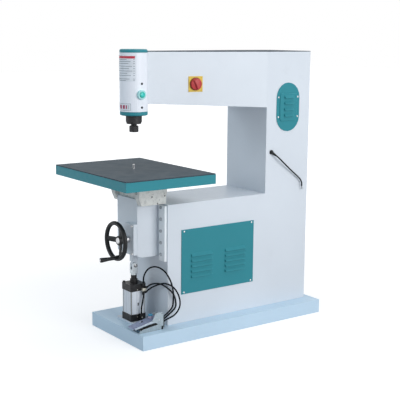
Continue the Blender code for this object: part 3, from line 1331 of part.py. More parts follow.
def make_handwheel(body, handle_body):
    axis = Vector((WHEEL_AXIS_SIDE, 0, WHEEL_AXIS_HEIGHT))
    centre = axis + Vector((0, HANDWHEEL_PLACE, 0))
    forward = Vector((0, -1, 0))
    bpy.ops.mesh.primitive_torus_add(
        major_radius=HANDWHEEL_RADIUS, minor_radius=HANDWHEEL_RIM, major_segments=RIM_MAJOR_STEPS,
        minor_segments=RIM_MINOR_STEPS, location=centre, rotation=(TURN / 4, 0, 0))
    rim = bpy.context.active_object
    rim.name = "handwheel"
    for holder in list(rim.users_collection):
        holder.objects.unlink(rim)
    PARTS.objects.link(rim)
    boss = rod("wheel_boss", centre - forward * HANDWHEEL_BOSS_WIDTH / 2,
               centre + forward * HANDWHEEL_BOSS_WIDTH / 2,
               HANDWHEEL_BOSS_RADIUS)
    spokes = []
    inner = (HANDWHEEL_HUB_RADIUS + HANDWHEEL_BOSS_RADIUS) / 2
    for index in range(SPOKE_COUNT):
        angle = math.pi + index * TURN / SPOKE_COUNT
        direction = Vector((math.cos(angle), 0, math.sin(angle)))
        spoke = rod("wheel_spoke", centre + direction * inner, centre + direction * HANDWHEEL_RADIUS,
                    SPOKE_HUB_RADIUS, TINY_SIDES, SPOKE_RIM_RADIUS)
        spoke.rotation_euler = direction.to_track_quat("Z", "Y").to_euler()
        spoke.scale = (1, SPOKE_FLATNESS_SHARE, 1)
        spokes.append(spoke)
    crank = Vector((math.cos(CRANK_ANGLE), 0, math.sin(CRANK_ANGLE))) * CRANK_RADIUS
    crank_boss = rod("crank_boss", centre + crank - forward * CRANK_BOSS_HALF,
                     centre + crank + forward * CRANK_BOSS_HALF,
                     CRANK_BOSS_RADIUS, SMALL_SIDES)
    handle_start = CRANK_BOSS_HALF + GAP
    handle_end = handle_start + HANDLE_LENGTH
    pin_end = handle_end + GAP
    pin = rod("crank_pin", centre + crank, centre + crank + forward * (pin_end + HANDLE_PIN_HEAD / 2),
              CRANK_PIN_RADIUS, TINY_SIDES)
    pin_head = rod("crank_pin_head", centre + crank + forward * pin_end,
                   centre + crank + forward * (pin_end + HANDLE_PIN_HEAD), HANDLE_PIN_HEAD_RADIUS, TINY_SIDES)
    bore = rod("wheel_hub_bore", centre - forward * HANDWHEEL_BOSS_WIDTH,
               centre + forward * HANDWHEEL_BOSS_WIDTH,
               HANDWHEEL_HUB_RADIUS + GAP)
    fuse(rim, boss, *spokes, crank_boss, pin, pin_head)
    part(cut(rim, bore), "black_plastic", body)

    hub = turned("handwheel_hub", (
        (HANDWHEEL_HUB_RADIUS - BUSH_EDGE, HANDWHEEL_HUB_FRONT),
        (HANDWHEEL_HUB_RADIUS, HANDWHEEL_HUB_FRONT - BUSH_EDGE),
        (HANDWHEEL_HUB_RADIUS, -HANDWHEEL_HUB_BACK), (WORM_SHAFT_RADIUS + GAP, -HANDWHEEL_HUB_BACK),
        (WORM_SHAFT_RADIUS + GAP, HANDWHEEL_HUB_FRONT)), centre, forward)
    part(hub, "bright_steel", body)

    shaft_front = HANDWHEEL_PLACE - HANDWHEEL_HUB_FRONT
    shaft_back = KNEE_CAVITY_BACK + KNEE_WALL - GAP
    shaft = rod("worm_shaft", axis + Vector((0, shaft_front, 0)), axis + Vector((0, shaft_back, 0)),
                WORM_SHAFT_RADIUS, SMALL_SIDES)
    half = WORM_LENGTH / 2
    pitch = WORM_LENGTH / WORM_TURNS
    profile = []
    for turn in range(WORM_TURNS):
        top = half - turn * pitch
        profile += [(WORM_ROOT_RADIUS, top), (WORM_CREST_RADIUS, top - pitch / 4),
                    (WORM_CREST_RADIUS, top - pitch / 2),
                    (WORM_ROOT_RADIUS, top - pitch * 3 / 4)]
    profile = [(0, half)] + profile + [(WORM_ROOT_RADIUS, -half), (0, -half)]
    worm = turned("worm_threads", profile, axis + Vector((0, SCREW_PLACE, 0)), forward, TINY_SIDES)
    part(fuse(shaft, worm), "bright_steel", body)

    start = handle_start
    handle = turned("crank_handle", (
        (HANDLE_TIP_RADIUS - BUSH_EDGE, handle_end), (HANDLE_TIP_RADIUS, handle_end - BUSH_EDGE),
        (HANDLE_TIP_RADIUS, handle_end - HANDLE_LENGTH / 8),
        (HANDLE_WAIST_RADIUS, handle_end - HANDLE_LENGTH / 2),
        (HANDLE_NECK_RADIUS, start), (HANDLE_BORE_RADIUS, start), (HANDLE_BORE_RADIUS, handle_end)),
        centre + crank, forward, SMALL_SIDES)
    part(handle, "black_plastic", handle_body)
    return centre + crank


# Table and its support

def make_support(body):
    inner = KNEE_WIDTH / 2 + GAP
    outer = SUPPORT_LUG_OUTER
    flare = SUPPORT_FLARE_OUTER
    top = TABLE_BOTTOM - GAP
    knee_height = SUPPORT_LUG_BOTTOM + SUPPORT_KNEE_HEIGHT
    side_view = (
        (SUPPORT_FRONT_LOW, SUPPORT_LUG_BOTTOM), (SUPPORT_CHEEK_BACK, SUPPORT_LUG_BOTTOM),
        (SUPPORT_CHEEK_BACK, top), (SUPPORT_FRONT_TOP, top),
        (SUPPORT_FRONT_MID, SUPPORT_LUG_BOTTOM + SUPPORT_MID_HEIGHT), (SUPPORT_FRONT_KNEE, knee_height))
    cheeks = []
    for side in (1, -1):
        front_view = (
            (inner, SUPPORT_LUG_BOTTOM - OVERRUN), (outer, SUPPORT_LUG_BOTTOM - OVERRUN),
            (outer, knee_height), (flare, top + OVERRUN), (flare - SUPPORT_CHEEK, top + OVERRUN),
            (outer - SUPPORT_CHEEK, DECK_TOP), (inner, DECK_TOP))
        cheek = plate("support_cheek", [[(side * x, z) for x, z in front_view]], SUPPORT_FRONT_TOP - OVERRUN,
                      SUPPORT_CHEEK_BACK + OVERRUN, "XZ")
        low, high = sorted((side * (inner - OVERRUN), side * (flare + OVERRUN)))
        cheeks.append(overlap(cheek, plate("cheek_side_view", [side_view], low, high, "YZ")))
    cavity_half = KNEE_WIDTH / 2 - KNEE_WALL
    pillar_half = cavity_half - SLIDE_GAP
    pillar_front = KNEE_FRONT + KNEE_WALL + SLIDE_GAP
    pillar_back = KNEE_CAVITY_BACK - SLIDE_GAP
    support = box("table_support", (-pillar_half, pillar_front, PILLAR_BOTTOM),
                  (pillar_half, pillar_back, DECK_TOP - GAP))
    deck = box("support_deck", (-inner - SUPPORT_CHEEK, SUPPORT_DECK_FRONT, DECK_BOTTOM),
               (inner + SUPPORT_CHEEK, SUPPORT_BACK, DECK_TOP))
    hollow = box("pillar_hollow", (PILLAR_WALL - pillar_half, pillar_front + PILLAR_WALL,
                                   PILLAR_BOTTOM - OVERRUN),
                 (pillar_half - PILLAR_WALL, pillar_back - PILLAR_WALL, DECK_BOTTOM))
    nut_hole = rod("nut_hole", (0, SCREW_PLACE, DECK_BOTTOM - OVERRUN), (0, SCREW_PLACE, DECK_TOP + OVERRUN),
                   NUT_RADIUS + GAP)
    fuse(support, deck, *cheeks)
    part(cut(support, hollow, nut_hole), "support_paint", body)

    high = DECK_TOP + GAP + NUT_FLANGE_THICKNESS
    part(turned("lift_nut", (
        (NUT_FLANGE_RADIUS, high), (NUT_FLANGE_RADIUS, DECK_TOP + GAP), (NUT_RADIUS, DECK_TOP + GAP),
        (NUT_RADIUS, DECK_BOTTOM), (SCREW_RADIUS + GAP, DECK_BOTTOM), (SCREW_RADIUS + GAP, high)),
        (0, SCREW_PLACE, 0), sides=SMALL_SIDES), "brass", body)


def make_table(body):
    half = TABLE_WIDTH / 2
    frame = box("table_frame", (-half, TABLE_FRONT, TABLE_BOTTOM), (half, TABLE_BACK, TABLE_DECK_TOP))
    sheet = TABLE_SHEET
    under = TABLE_DECK_TOP - sheet
    hollow = box("table_hollow", (sheet - half, TABLE_FRONT + sheet, TABLE_BOTTOM - OVERRUN),
                 (half - sheet, TABLE_BACK - sheet, under))
    cut(frame, hollow)
    rails = []
    for side in (1, -1):
        low, high = sorted((side * (SUPPORT_FLARE_OUTER - TABLE_RAIL), side * SUPPORT_FLARE_OUTER))
        rails.append(box("table_rail", (low, TABLE_FRONT + sheet / 2, TABLE_BOTTOM),
                         (high, TABLE_BACK - sheet / 2, under + sheet / 2)))
    middle = (TABLE_FRONT + TABLE_BACK) / 2
    for share in TABLE_RIB_PLACES_SHARES:
        place = middle + share * (TABLE_BACK - TABLE_FRONT)
        rails.append(box("table_rib", (sheet / 2 - half, place, under - TABLE_RIB_HEIGHT),
                         (half - sheet / 2, place + TABLE_RIB, under + sheet / 2)))
    boss = rod("pin_boss", (0, GUIDE_PIN_PLACE, under - GUIDE_BOSS_HEIGHT),
               (0, GUIDE_PIN_PLACE, under + sheet / 2),
               GUIDE_BOSS_RADIUS, SMALL_SIDES)
    fuse(frame, *rails, boss)
    hole = GUIDE_PIN_RADIUS + GAP
    pin_low = under - GUIDE_BOSS_HEIGHT / 2
    pin_hole = rod("pin_hole", (0, GUIDE_PIN_PLACE, pin_low - GAP), (0, GUIDE_PIN_PLACE, TABLE_TOP), hole,
                   SMALL_SIDES)
    part(cut(frame, pin_hole), "teal_paint", body)

    side = half - TABLE_LAMINATE_INSET
    front = TABLE_FRONT + TABLE_LAMINATE_INSET
    back = TABLE_BACK - TABLE_LAMINATE_INSET
    outline = ((-side, front), (side, front), (side, back), (-side, back))
    pin_circle = circle(0, GUIDE_PIN_PLACE, hole, SMALL_SIDES)
    top = plate("table_top", [outline, pin_circle], TABLE_TOP - TABLE_LAMINATE, TABLE_TOP)
    part(top, "dark_laminate", body)

    high = TABLE_TOP + GUIDE_PIN_HEIGHT
    part(turned("guide_pin", (
        (0, high), (GUIDE_PIN_RADIUS - GUIDE_PIN_TIP, high), (GUIDE_PIN_RADIUS, high - GUIDE_PIN_TIP),
        (GUIDE_PIN_RADIUS, pin_low), (0, pin_low)), (0, GUIDE_PIN_PLACE, 0), sides=SMALL_SIDES),
        "black_steel", body)


# Pneumatic cylinder

def tie_rod_places():
    return [(x * TIE_ROD_PLACE, LUG_PLACE + y * TIE_ROD_PLACE) for x in (1, -1) for y in (1, -1)]


def square_outline(side, corner):
    half = side / 2
    return rounded_outline(-half, LUG_PLACE - half, half, LUG_PLACE + half, corner)


def make_cylinder(body):
    floor = FLOOR_OF_FRAME
    plate_top = floor + MOUNTING_THICKNESS
    half = Vector((MOUNTING_WIDTH / 2, MOUNTING_DEPTH / 2, 0))
    centre = Vector((0, LUG_PLACE, 0))
    part(box("cylinder_mounting_plate", centre - half + UP * floor, centre + half + UP * plate_top),
         "body_paint")

    cap = square_outline(CYLINDER_CAP_SIDE, CYLINDER_CAP_CORNER)
    places = tie_rod_places()
    rod_holes = [circle(x, y, TIE_ROD_RADIUS + GAP, TINY_SIDES) for x, y in places]
    bottom = plate("cylinder_bottom_cap", [cap], CYLINDER_FLOOR, CYLINDER_BOTTOM_CAP_TOP)
    nut_low = CYLINDER_TOP_CAP_TOP + GAP
    studs = []
    for x, y in places:
        stud = rod("tie_rod", (x, y, CYLINDER_BOTTOM_CAP_TOP - OVERRUN),
                   (x, y, nut_low + TIE_ROD_NUT_HEIGHT / 2),
                   TIE_ROD_RADIUS, TINY_SIDES)
        nut = rod("tie_rod_nut", (x, y, nut_low), (x, y, nut_low + TIE_ROD_NUT_HEIGHT), TIE_ROD_NUT_RADIUS,
                  HEX_SIDES)
        studs.append(fuse(stud, nut))
    part(fuse(bottom, gather("tie_rods", studs)), "black_steel")

    top = plate("cylinder_top_cap", [cap] + rod_holes, CYLINDER_TOP_CAP_BOTTOM, CYLINDER_TOP_CAP_TOP)
    gland = turned("cylinder_gland", (
        (0, CYLINDER_GLAND_TOP), (CYLINDER_GLAND_RADIUS - CYLINDER_GLAND_STEP, CYLINDER_GLAND_TOP),
        (CYLINDER_GLAND_RADIUS - CYLINDER_GLAND_STEP, (CYLINDER_GLAND_TOP + CYLINDER_TOP_CAP_TOP) / 2),
        (CYLINDER_GLAND_RADIUS, (CYLINDER_GLAND_TOP + CYLINDER_TOP_CAP_TOP) / 2),
        (CYLINDER_GLAND_RADIUS, CYLINDER_TOP_CAP_TOP - OVERRUN), (0, CYLINDER_TOP_CAP_TOP - OVERRUN)), centre)
    gland_bore = rod("gland_bore", centre + UP * (CYLINDER_TOP_CAP_BOTTOM - OVERRUN),
                     centre + UP * (CYLINDER_GLAND_TOP + OVERRUN), PISTON_ROD_RADIUS + GAP, SMALL_SIDES)
    part(cut(fuse(top, gland), gland_bore), "black_steel")

    barrel_low = CYLINDER_BOTTOM_CAP_TOP + GAP
    barrel_high = CYLINDER_TOP_CAP_BOTTOM - GAP
    barrel = plate("cylinder_barrel", [square_outline(BARREL_SIDE, BARREL_CORNER),
                                       circle(0, LUG_PLACE, BARREL_BORE_RADIUS)], barrel_low, barrel_high)
    reach = BARREL_SIDE / 2
    channels = [rod("barrel_channel", (x, y, barrel_low - OVERRUN), (x, y, barrel_high + OVERRUN),
                    BARREL_CHANNEL_RADIUS, TINY_SIDES) for x, y in places]
    for x, y in ((reach, 0), (-reach, 0), (0, reach), (0, -reach)):
        channels.append(rod("barrel_slot", (x, LUG_PLACE + y, barrel_low - OVERRUN),
                            (x, LUG_PLACE + y, barrel_high + OVERRUN), BARREL_SLOT_RADIUS, TINY_SIDES))
    part(cut(barrel, gather("barrel_channels", channels)), "anodised")

    low = PISTON_BOTTOM
    high = low + PISTON_HEIGHT
    middle = (low + high) / 2
    bore = PISTON_ROD_RADIUS + GAP
    part(turned("piston", (
        (PISTON_RADIUS, high), (PISTON_RADIUS, middle + PISTON_GROOVE / 2),
        (PISTON_RADIUS - PISTON_GROOVE, middle + PISTON_GROOVE / 2),
        (PISTON_RADIUS - PISTON_GROOVE, middle - PISTON_GROOVE / 2),
        (PISTON_RADIUS, middle - PISTON_GROOVE / 2),
        (PISTON_RADIUS, low), (bore, low), (bore, high)), centre), "anodised", body)
    socket = FORK_BOTTOM + FORK_SOCKET_DEPTH
    part(rod("piston_rod", centre + UP * low, centre + UP * (socket - GAP), PISTON_ROD_RADIUS, SMALL_SIDES),
         "bright_steel", body)

    fork = plate("rod_clevis", [
        [(LUG_PLACE - LUG_HALF_DEPTH, FORK_BOTTOM), (LUG_PLACE + LUG_HALF_DEPTH, FORK_BOTTOM)]
        + arc(LUG_PLACE, FORK_TOP - LUG_HALF_DEPTH, LUG_HALF_DEPTH, 0, math.pi, KNEE_CURVE_STEPS)],
        -FORK_HALF_WIDTH, FORK_HALF_WIDTH, "YZ")
    slot_half = TONGUE_HALF_WIDTH + SLIDE_GAP
    slot = box("fork_slot", (-slot_half, LUG_PLACE - LUG_HALF_DEPTH - OVERRUN, FORK_SLOT_BOTTOM),
               (slot_half, LUG_PLACE + LUG_HALF_DEPTH + OVERRUN, FORK_TOP + OVERRUN))
    rod_socket = rod("rod_socket", centre + UP * (FORK_BOTTOM - OVERRUN), centre + UP * socket, bore,
                     SMALL_SIDES)
    pin_end = FORK_HALF_WIDTH + GAP
    pin_hole = rod("fork_hole", (-FORK_HALF_WIDTH - OVERRUN, LUG_PLACE, CLEVIS_PIN_HEIGHT),
                   (FORK_HALF_WIDTH + OVERRUN, LUG_PLACE, CLEVIS_PIN_HEIGHT), CLEVIS_PIN_RADIUS + GAP,
                   SMALL_SIDES)
    part(cut(fork, slot, rod_socket, pin_hole), "galvanised", body)
    head_end = pin_end + CLEVIS_PIN_HEAD
    part(turned("clevis_pin", (
        (0, head_end), (CLEVIS_PIN_HEAD_RADIUS, head_end), (CLEVIS_PIN_HEAD_RADIUS, pin_end),
        (CLEVIS_PIN_RADIUS, pin_end),
        (CLEVIS_PIN_RADIUS, -pin_end), (CLEVIS_PIN_HEAD_RADIUS, -pin_end),
        (CLEVIS_PIN_HEAD_RADIUS, -head_end),
        (0, -head_end)), (0, LUG_PLACE, CLEVIS_PIN_HEIGHT), (1, 0, 0), SMALL_SIDES), "bright_steel", body)


def hose_collar(name, tip, following, length, radius):
    """A push-in collar in line with the end of its hose, with its face just short of it."""
    direction = (Vector(following) - Vector(tip)).normalized()
    end = Vector(tip) - direction * GAP
    return rod(name, end - direction * length, end, radius, TINY_SIDES)


def make_fittings():
    face = CYLINDER_CAP_SIDE / 2 + GAP
    block = box("cylinder_upper_fitting", (face, BLOCK_FRONT, BLOCK_BOTTOM),
                (face + BLOCK_THICKNESS, BLOCK_BACK, BLOCK_TOP))
    bevel(block, GEARBOX_EDGE / 2)
    collars = [hose_collar("hose_collar", route[0], route[1], COLLAR_LENGTH + OVERRUN, COLLAR_RADIUS)
               for route in (LONG_LOOP_ROUTE, MIDDLE_LOOP_ROUTE, INNER_LOOP_ROUTE, CYLINDER_LINK_ROUTE)]
    part(fuse(block, *collars), "galvanised")
    end = Vector(CYLINDER_LINK_ROUTE[-1])
    half = PORT_BLOCK_SIDE / 2
    port = box("cylinder_lower_fitting", (face, end.y - half, PORT_BLOCK_LOW),
               (face + PORT_BLOCK_SIDE, end.y + half, PORT_BLOCK_LOW + PORT_BLOCK_HEIGHT))
    bevel(port, GEARBOX_EDGE / 2)
    collar = hose_collar("hose_collar", end, CYLINDER_LINK_ROUTE[-2], COLLAR_LENGTH + OVERRUN, COLLAR_RADIUS)
    part(fuse(port, collar), "galvanised")


def make_hoses():
    for name, route in (("hose_long_loop", LONG_LOOP_ROUTE), ("hose_middle_loop", MIDDLE_LOOP_ROUTE),
                        ("hose_inner_loop", INNER_LOOP_ROUTE), ("hose_cylinder_link", CYLINDER_LINK_ROUTE)):
        part(tube(name, route, HOSE_STEP, HOSE_DIAMETER), "hose_black")


# Foot valve

def make_pedal(body):
    left = PEDAL_LEFT
    right = PEDAL_RIGHT
    sheet = PEDAL_SHEET
    floor = PEDAL_FLOOR
    low_side = floor + PEDAL_SIDE_HEIGHT
    neck = floor + PEDAL_NECK_HEIGHT
    side_view = (
        (PEDAL_FRONT, floor), (PEDAL_BACK, floor), (PEDAL_BACK, PEDAL_HOOD_TOP),
        (PEDAL_HOOD_FRONT + PEDAL_HOOD_SLOPE, PEDAL_HOOD_TOP),
        (PEDAL_HOOD_FRONT, PEDAL_HOOD_TOP - PEDAL_HOOD_SLOPE * 2),
        (PEDAL_HOOD_FRONT, neck), (PEDAL_HOOD_FRONT - PEDAL_HOOD_SLOPE, low_side),
        (PEDAL_FRONT, low_side - PEDAL_HOOD_SLOPE / 2))
    base = plate("pedal_base", [side_view], left, right, "YZ")
    channel = box("pedal_channel", (left + sheet, PEDAL_FRONT - OVERRUN, floor + sheet),
                  (right - sheet, PEDAL_BACK + OVERRUN, PEDAL_HOOD_TOP - sheet))
    pin_hole = rod("pedal_pin_hole", (left - OVERRUN, PEDAL_AXIS_PLACE, PEDAL_AXIS_HEIGHT),
                   (right + OVERRUN, PEDAL_AXIS_PLACE, PEDAL_AXIS_HEIGHT), PEDAL_PIN_RADIUS + GAP, TINY_SIDES)
    part(cut(base, channel, pin_hole), "galvanised")

    inner_left = left + sheet + SLIDE_GAP
    inner_right = right - sheet - SLIDE_GAP
    flange = TREADLE_FLANGE
    slope = (TREADLE_BACK_HEIGHT - TREADLE_FRONT_HEIGHT) / (TREADLE_BACK - TREADLE_FRONT)
    treadle_view = (
        (TREADLE_FRONT, TREADLE_FRONT_HEIGHT), (TREADLE_FRONT, TREADLE_FRONT_HEIGHT - flange),
        (TREADLE_BACK, TREADLE_BACK_HEIGHT - flange), (TREADLE_BACK, TREADLE_BACK_HEIGHT))
    treadle = plate("treadle", [treadle_view], inner_left, inner_right, "YZ")
    ears = rod("treadle_ears", (inner_left, PEDAL_AXIS_PLACE, PEDAL_AXIS_HEIGHT),
               (inner_right, PEDAL_AXIS_PLACE, PEDAL_AXIS_HEIGHT), PEDAL_EAR_RADIUS, SMALL_SIDES)
    under = (
        (TREADLE_FRONT + TREADLE_SHEET, TREADLE_FRONT_HEIGHT - TREADLE_SHEET + slope * TREADLE_SHEET),
        (TREADLE_FRONT + TREADLE_SHEET, floor), (TREADLE_BACK + PEDAL_EAR_RADIUS * 2, floor),
        (TREADLE_BACK + PEDAL_EAR_RADIUS * 2,
         TREADLE_BACK_HEIGHT + slope * PEDAL_EAR_RADIUS * 2 - TREADLE_SHEET))
    hollow = plate("treadle_hollow", [under], inner_left + TREADLE_SHEET, inner_right - TREADLE_SHEET, "YZ")
    pin_bore = rod("treadle_bore", (left, PEDAL_AXIS_PLACE, PEDAL_AXIS_HEIGHT),
                   (right, PEDAL_AXIS_PLACE, PEDAL_AXIS_HEIGHT), PEDAL_PIN_RADIUS + GAP, TINY_SIDES)
    part(cut(fuse(treadle, ears), hollow, pin_bore), "galvanised", body)
    pin = rod("pedal_pin", (left - sheet, PEDAL_AXIS_PLACE, PEDAL_AXIS_HEIGHT),
              (right + sheet, PEDAL_AXIS_PLACE, PEDAL_AXIS_HEIGHT), PEDAL_PIN_RADIUS, TINY_SIDES)
    part(pin, "bright_steel", body)

    low = floor + sheet + GAP
    half = VALVE_WIDTH / 2
    valve = box("pedal_valve", (VALVE_PORT_SIDE - half, VALVE_FRONT, low),
                (VALVE_PORT_SIDE + half, VALVE_BACK, VALVE_TOP))
    ports = [hose_collar("valve_port", route[-1], route[-2], VALVE_PORT_LENGTH, VALVE_PORT_RADIUS)
             for route in (LONG_LOOP_ROUTE, MIDDLE_LOOP_ROUTE, INNER_LOOP_ROUTE)]
    part(fuse(valve, *ports), "black_plastic")


# Mains lead and electrical plate

def make_lead():
    hole = Vector((SIDE_FACE, GLAND_PLACE, GLAND_HEIGHT))
    route = [hole + Vector(point) for point in LEAD_ROUTE]
    wall = hole + Vector((GAP, 0, 0))
    knuckle = wall + Vector((GLAND_FLANGE, 0, 0))
    direction = (route[1] - route[0]).normalized()
    gland = rod("lead_gland", wall, knuckle, GLAND_FLANGE_RADIUS, TINY_SIDES)
    ball = bmesh.new()
    bmesh.ops.create_uvsphere(ball, u_segments=TINY_SIDES, v_segments=HEX_SIDES, radius=GLAND_KNUCKLE_RADIUS)
    knob = mesh_object("gland_knuckle", ball)
    knob.location = knuckle
    flat = box("gland_flat", wall - Vector((GLAND_FLANGE * 4, GLAND_FLANGE * 4, GLAND_FLANGE * 4)),
               wall + Vector((0, GLAND_FLANGE * 4, GLAND_FLANGE * 4)))
    end = route[0] - direction * GAP
    nose = rod("gland_nose", end - direction * GLAND_NOSE_LENGTH, end, GLAND_NOSE_RADIUS, TINY_SIDES,
               GLAND_NOSE_TIP_RADIUS)
    part(cut(fuse(gland, knob, nose), flat), "black_plastic")
    part(tube("mains_lead", route, LEAD_STEP, LEAD_DIAMETER), "hose_black")


def make_panel():
    inner = FRAME_SHEET + GAP - SIDE_FACE
    panel = box("electrical_panel", (inner, PANEL_FRONT, PANEL_BOTTOM),
                (inner + PANEL_SHEET, PANEL_BACK, PANEL_TOP))
    middle = (PANEL_FRONT + PANEL_BACK) / 2
    height = (PANEL_BOTTOM + PANEL_TOP) / 2
    for index in range(DEVICE_COUNT):
        place = middle + (index - (DEVICE_COUNT - 1) / 2) * DEVICE_PITCH
        fuse(panel, box("panel_device", (inner + PANEL_SHEET / 2, place - DEVICE_WIDTH / 2,
                                         height - DEVICE_HEIGHT / 2),
                        (inner + DEVICE_DEPTH, place + DEVICE_WIDTH / 2, height + DEVICE_HEIGHT / 2)))
    part(panel, "device_grey")


def build():
    spindle = joint_empty("spindle_axis", (0, HEAD_PLACE, HEAD_BOTTOM))
    rotor = joint_empty("motor_axis", (0, MOTOR_PLACE, MOTOR_TOP))
    knob = joint_empty("switch_axis", switch_place(0))
    button = joint_empty("button_axis", (BUTTON_FACE, HEAD_PLACE, BUTTON_HEIGHT))
    knee = joint_empty("knee_slide", (0, LUG_PLACE, KNEE_BOTTOM))
    wheel = joint_empty("handwheel_axis", (WHEEL_AXIS_SIDE, HANDWHEEL_PLACE, WHEEL_AXIS_HEIGHT), knee)
    screw = joint_empty("screw_axis", (0, SCREW_PLACE, KNEE_BOTTOM), knee)
    table = joint_empty("table_slide", (0, SCREW_PLACE, DECK_BOTTOM), knee)
    pedal = joint_empty("pedal_axis", (PEDAL_LEFT, PEDAL_AXIS_PLACE, PEDAL_AXIS_HEIGHT))
    crank = Vector((WHEEL_AXIS_SIDE + CRANK_RADIUS * math.cos(CRANK_ANGLE), HANDWHEEL_PLACE,
                    WHEEL_AXIS_HEIGHT + CRANK_RADIUS * math.sin(CRANK_ANGLE)))
    handle = joint_empty("handle_axis", crank, wheel)

    make_base()
    make_frame()
    make_covers()
    make_head()
    make_cartridge()
    make_spindle(spindle)
    make_drive(spindle, rotor)
    make_motor(rotor)
    make_switch(knob)
    make_button(button)
    make_keepers()
    make_knee(knee)
    make_lift_screw(screw)
    make_handwheel(wheel, handle)
    make_support(table)
    make_table(table)
    make_cylinder(knee)
    make_fittings()
    make_hoses()
    make_pedal(pedal)
    make_lead()
    make_panel()


build()
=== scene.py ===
"""Looks of the vertical milling machine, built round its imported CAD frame.

Metres, +Z up. The operator stands on the -Y side, and the louvred covers are on the +X side.
"""

import json
import math

import bmesh
import bpy
from mathutils import Matrix, Vector


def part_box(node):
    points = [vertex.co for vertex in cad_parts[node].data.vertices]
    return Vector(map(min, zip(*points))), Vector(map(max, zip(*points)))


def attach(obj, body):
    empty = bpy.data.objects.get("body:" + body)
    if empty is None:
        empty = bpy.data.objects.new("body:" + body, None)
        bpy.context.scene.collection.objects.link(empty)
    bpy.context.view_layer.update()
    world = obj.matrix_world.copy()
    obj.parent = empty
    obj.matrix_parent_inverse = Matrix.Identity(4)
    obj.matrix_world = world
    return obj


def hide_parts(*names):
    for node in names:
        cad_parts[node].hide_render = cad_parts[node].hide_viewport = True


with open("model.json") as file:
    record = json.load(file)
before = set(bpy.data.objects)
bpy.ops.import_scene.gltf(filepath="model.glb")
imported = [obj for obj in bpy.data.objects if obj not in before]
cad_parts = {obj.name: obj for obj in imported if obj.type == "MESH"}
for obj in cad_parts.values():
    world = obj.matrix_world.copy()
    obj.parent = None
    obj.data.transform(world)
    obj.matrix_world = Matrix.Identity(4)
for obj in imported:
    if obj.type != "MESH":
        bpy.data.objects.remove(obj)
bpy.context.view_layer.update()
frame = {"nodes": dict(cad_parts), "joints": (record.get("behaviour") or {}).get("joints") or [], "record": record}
NODES = frame["nodes"]
TURN = math.tau
UP = Vector((0, 0, 1))
RIGHT = Vector((1, 0, 0))
FORWARD = Vector((0, -1, 0))

# Turns a shape drawn in X and Y to lie in Y and Z, with its thickness along X
SIDE_VIEW = Matrix((-FORWARD, UP, RIGHT)).transposed().to_4x4()

for plain_material in list(bpy.data.materials):
    bpy.data.materials.remove(plain_material)

# Camera, fitted to the photograph
CAMERA_PLACE = (3.8863, -2.8684, 1.5221)
CAMERA_YAW = math.radians(54.19)
CAMERA_PITCH = math.radians(10.16)
CAMERA_ROLL = math.radians(0.46)
CAMERA_LENS = 82.65
CAMERA_SENSOR = 36

# Lamps, which all face one point: name, place, size, power and colour
LAMP_TARGET = (0, 0, 0.7)
LAMPS = (
    ("side_lamp", (4.2, 0.6, 2.2), (3.0, 2.6), 120, (1, 1, 1)),
    ("front_lamp", (-1.2, -4.2, 2.4), (2.6, 2.4), 46, (0.84, 0.94, 1.0)),
    ("top_lamp", (0.2, 0.4, 4.4), (3.0, 3.0), 45, (1, 1, 1)))

# Sky, and the floor with the distances over which its glow rises to the white
WHITE = (1, 1, 1, 1)
BLACK = (0, 0, 0, 1)
SKY_COLOUR = (0.78, 0.89, 1.0, 1)
SKY_STRENGTH = 0.38
FLOOR_SIZE = 30
FLOOR_DROP = 0.0005
FLOOR_COLOUR = (0.52, 0.52, 0.53, 1)
FLOOR_ROUGHNESS = 0.9
FLOOR_NEAR = 0.9
FLOOR_FAR = 3.2
FLOOR_GLOW_NEAR = 0.62
FLOOR_GLOW_FAR = 0.96

# Materials: samples of soft edges, the lean of the normal at worn ones, and the range of gloss patterns
BEVEL_SAMPLES = 4
WEAR_START = 0.98
WEAR_FULL = 0.80
GLOSS_LOW = 0.3
GLOSS_HIGH = 0.7

# Sides and steps of round shapes, and how shapes are joined and shaded
ROUND_SIDES = 32
SMALL_SIDES = 20
HEX_SIDES = 6
FINE_SEGMENTS = 3
DOME_STEPS = 6
PATCH_STEP = math.radians(3)
WELD_DISTANCE = 0.00001
SHARP_ANGLE = math.radians(32)
OVERRUN = 0.001

# Pan screws of the covers, with a cross recess
COVER_SHEET = 0.003
COVER_SCREW_SIDE = 0.016
COVER_SCREW_END = 0.009
COVER_SCREW_ROLL = 0.9
OVAL_SCREW_SPREAD = 0.134
OVAL_SCREW_RISES = (0.0776, 0.1826)
PAN_RADIUS = 0.0050
PAN_HEIGHT = 0.0034
PAN_EDGE = 0.0011
RECESS_LENGTH = 0.0028
RECESS_WIDTH = 0.0006
RECESS_DEPTH = 0.0018

# Hex bolts of the keepers
BOLT_SIDE = 0.129
BOLT_DROP = 0.010
BOLT_PITCH = 0.060
BOLT_ROWS = 5
BOLT_ROLL = 1.3
BOLT_RADIUS = 0.0075
BOLT_HEIGHT = 0.0053
BOLT_CHAMFER = 0.0011
WASHER_RADIUS = 0.0088
WASHER_BORE = 0.0043
WASHER_HEIGHT = 0.0016
WASHER_EDGE = 0.0004

# Button-head and set screws with a hex recess
SOCKET_RADIUS = 0.0058
SOCKET_HEIGHT = 0.0028
SOCKET_HEX = 0.0022
SOCKET_DEPTH = 0.0016
SOCKET_DOME_SHARES = ((1, 0.45), (0.86, 0.82), (0.62, 1))
HEAD_SCREW_ANGLE = math.radians(3)
HEAD_SCREW_HEIGHTS = (1.288, 1.1725)
HEAD_SCREW_SINK = SOCKET_HEIGHT / 4
SET_SCREW_RADIUS = 0.0042
SUPPORT_SCREWS = ((-0.4527, 0.736), (-0.3770, 0.736), (-0.4190, 0.700))
SUPPORT_SIDE = 0.1320
SUPPORT_FLARE_START = 0.729
SUPPORT_FLARE = 0.018 / 0.0817

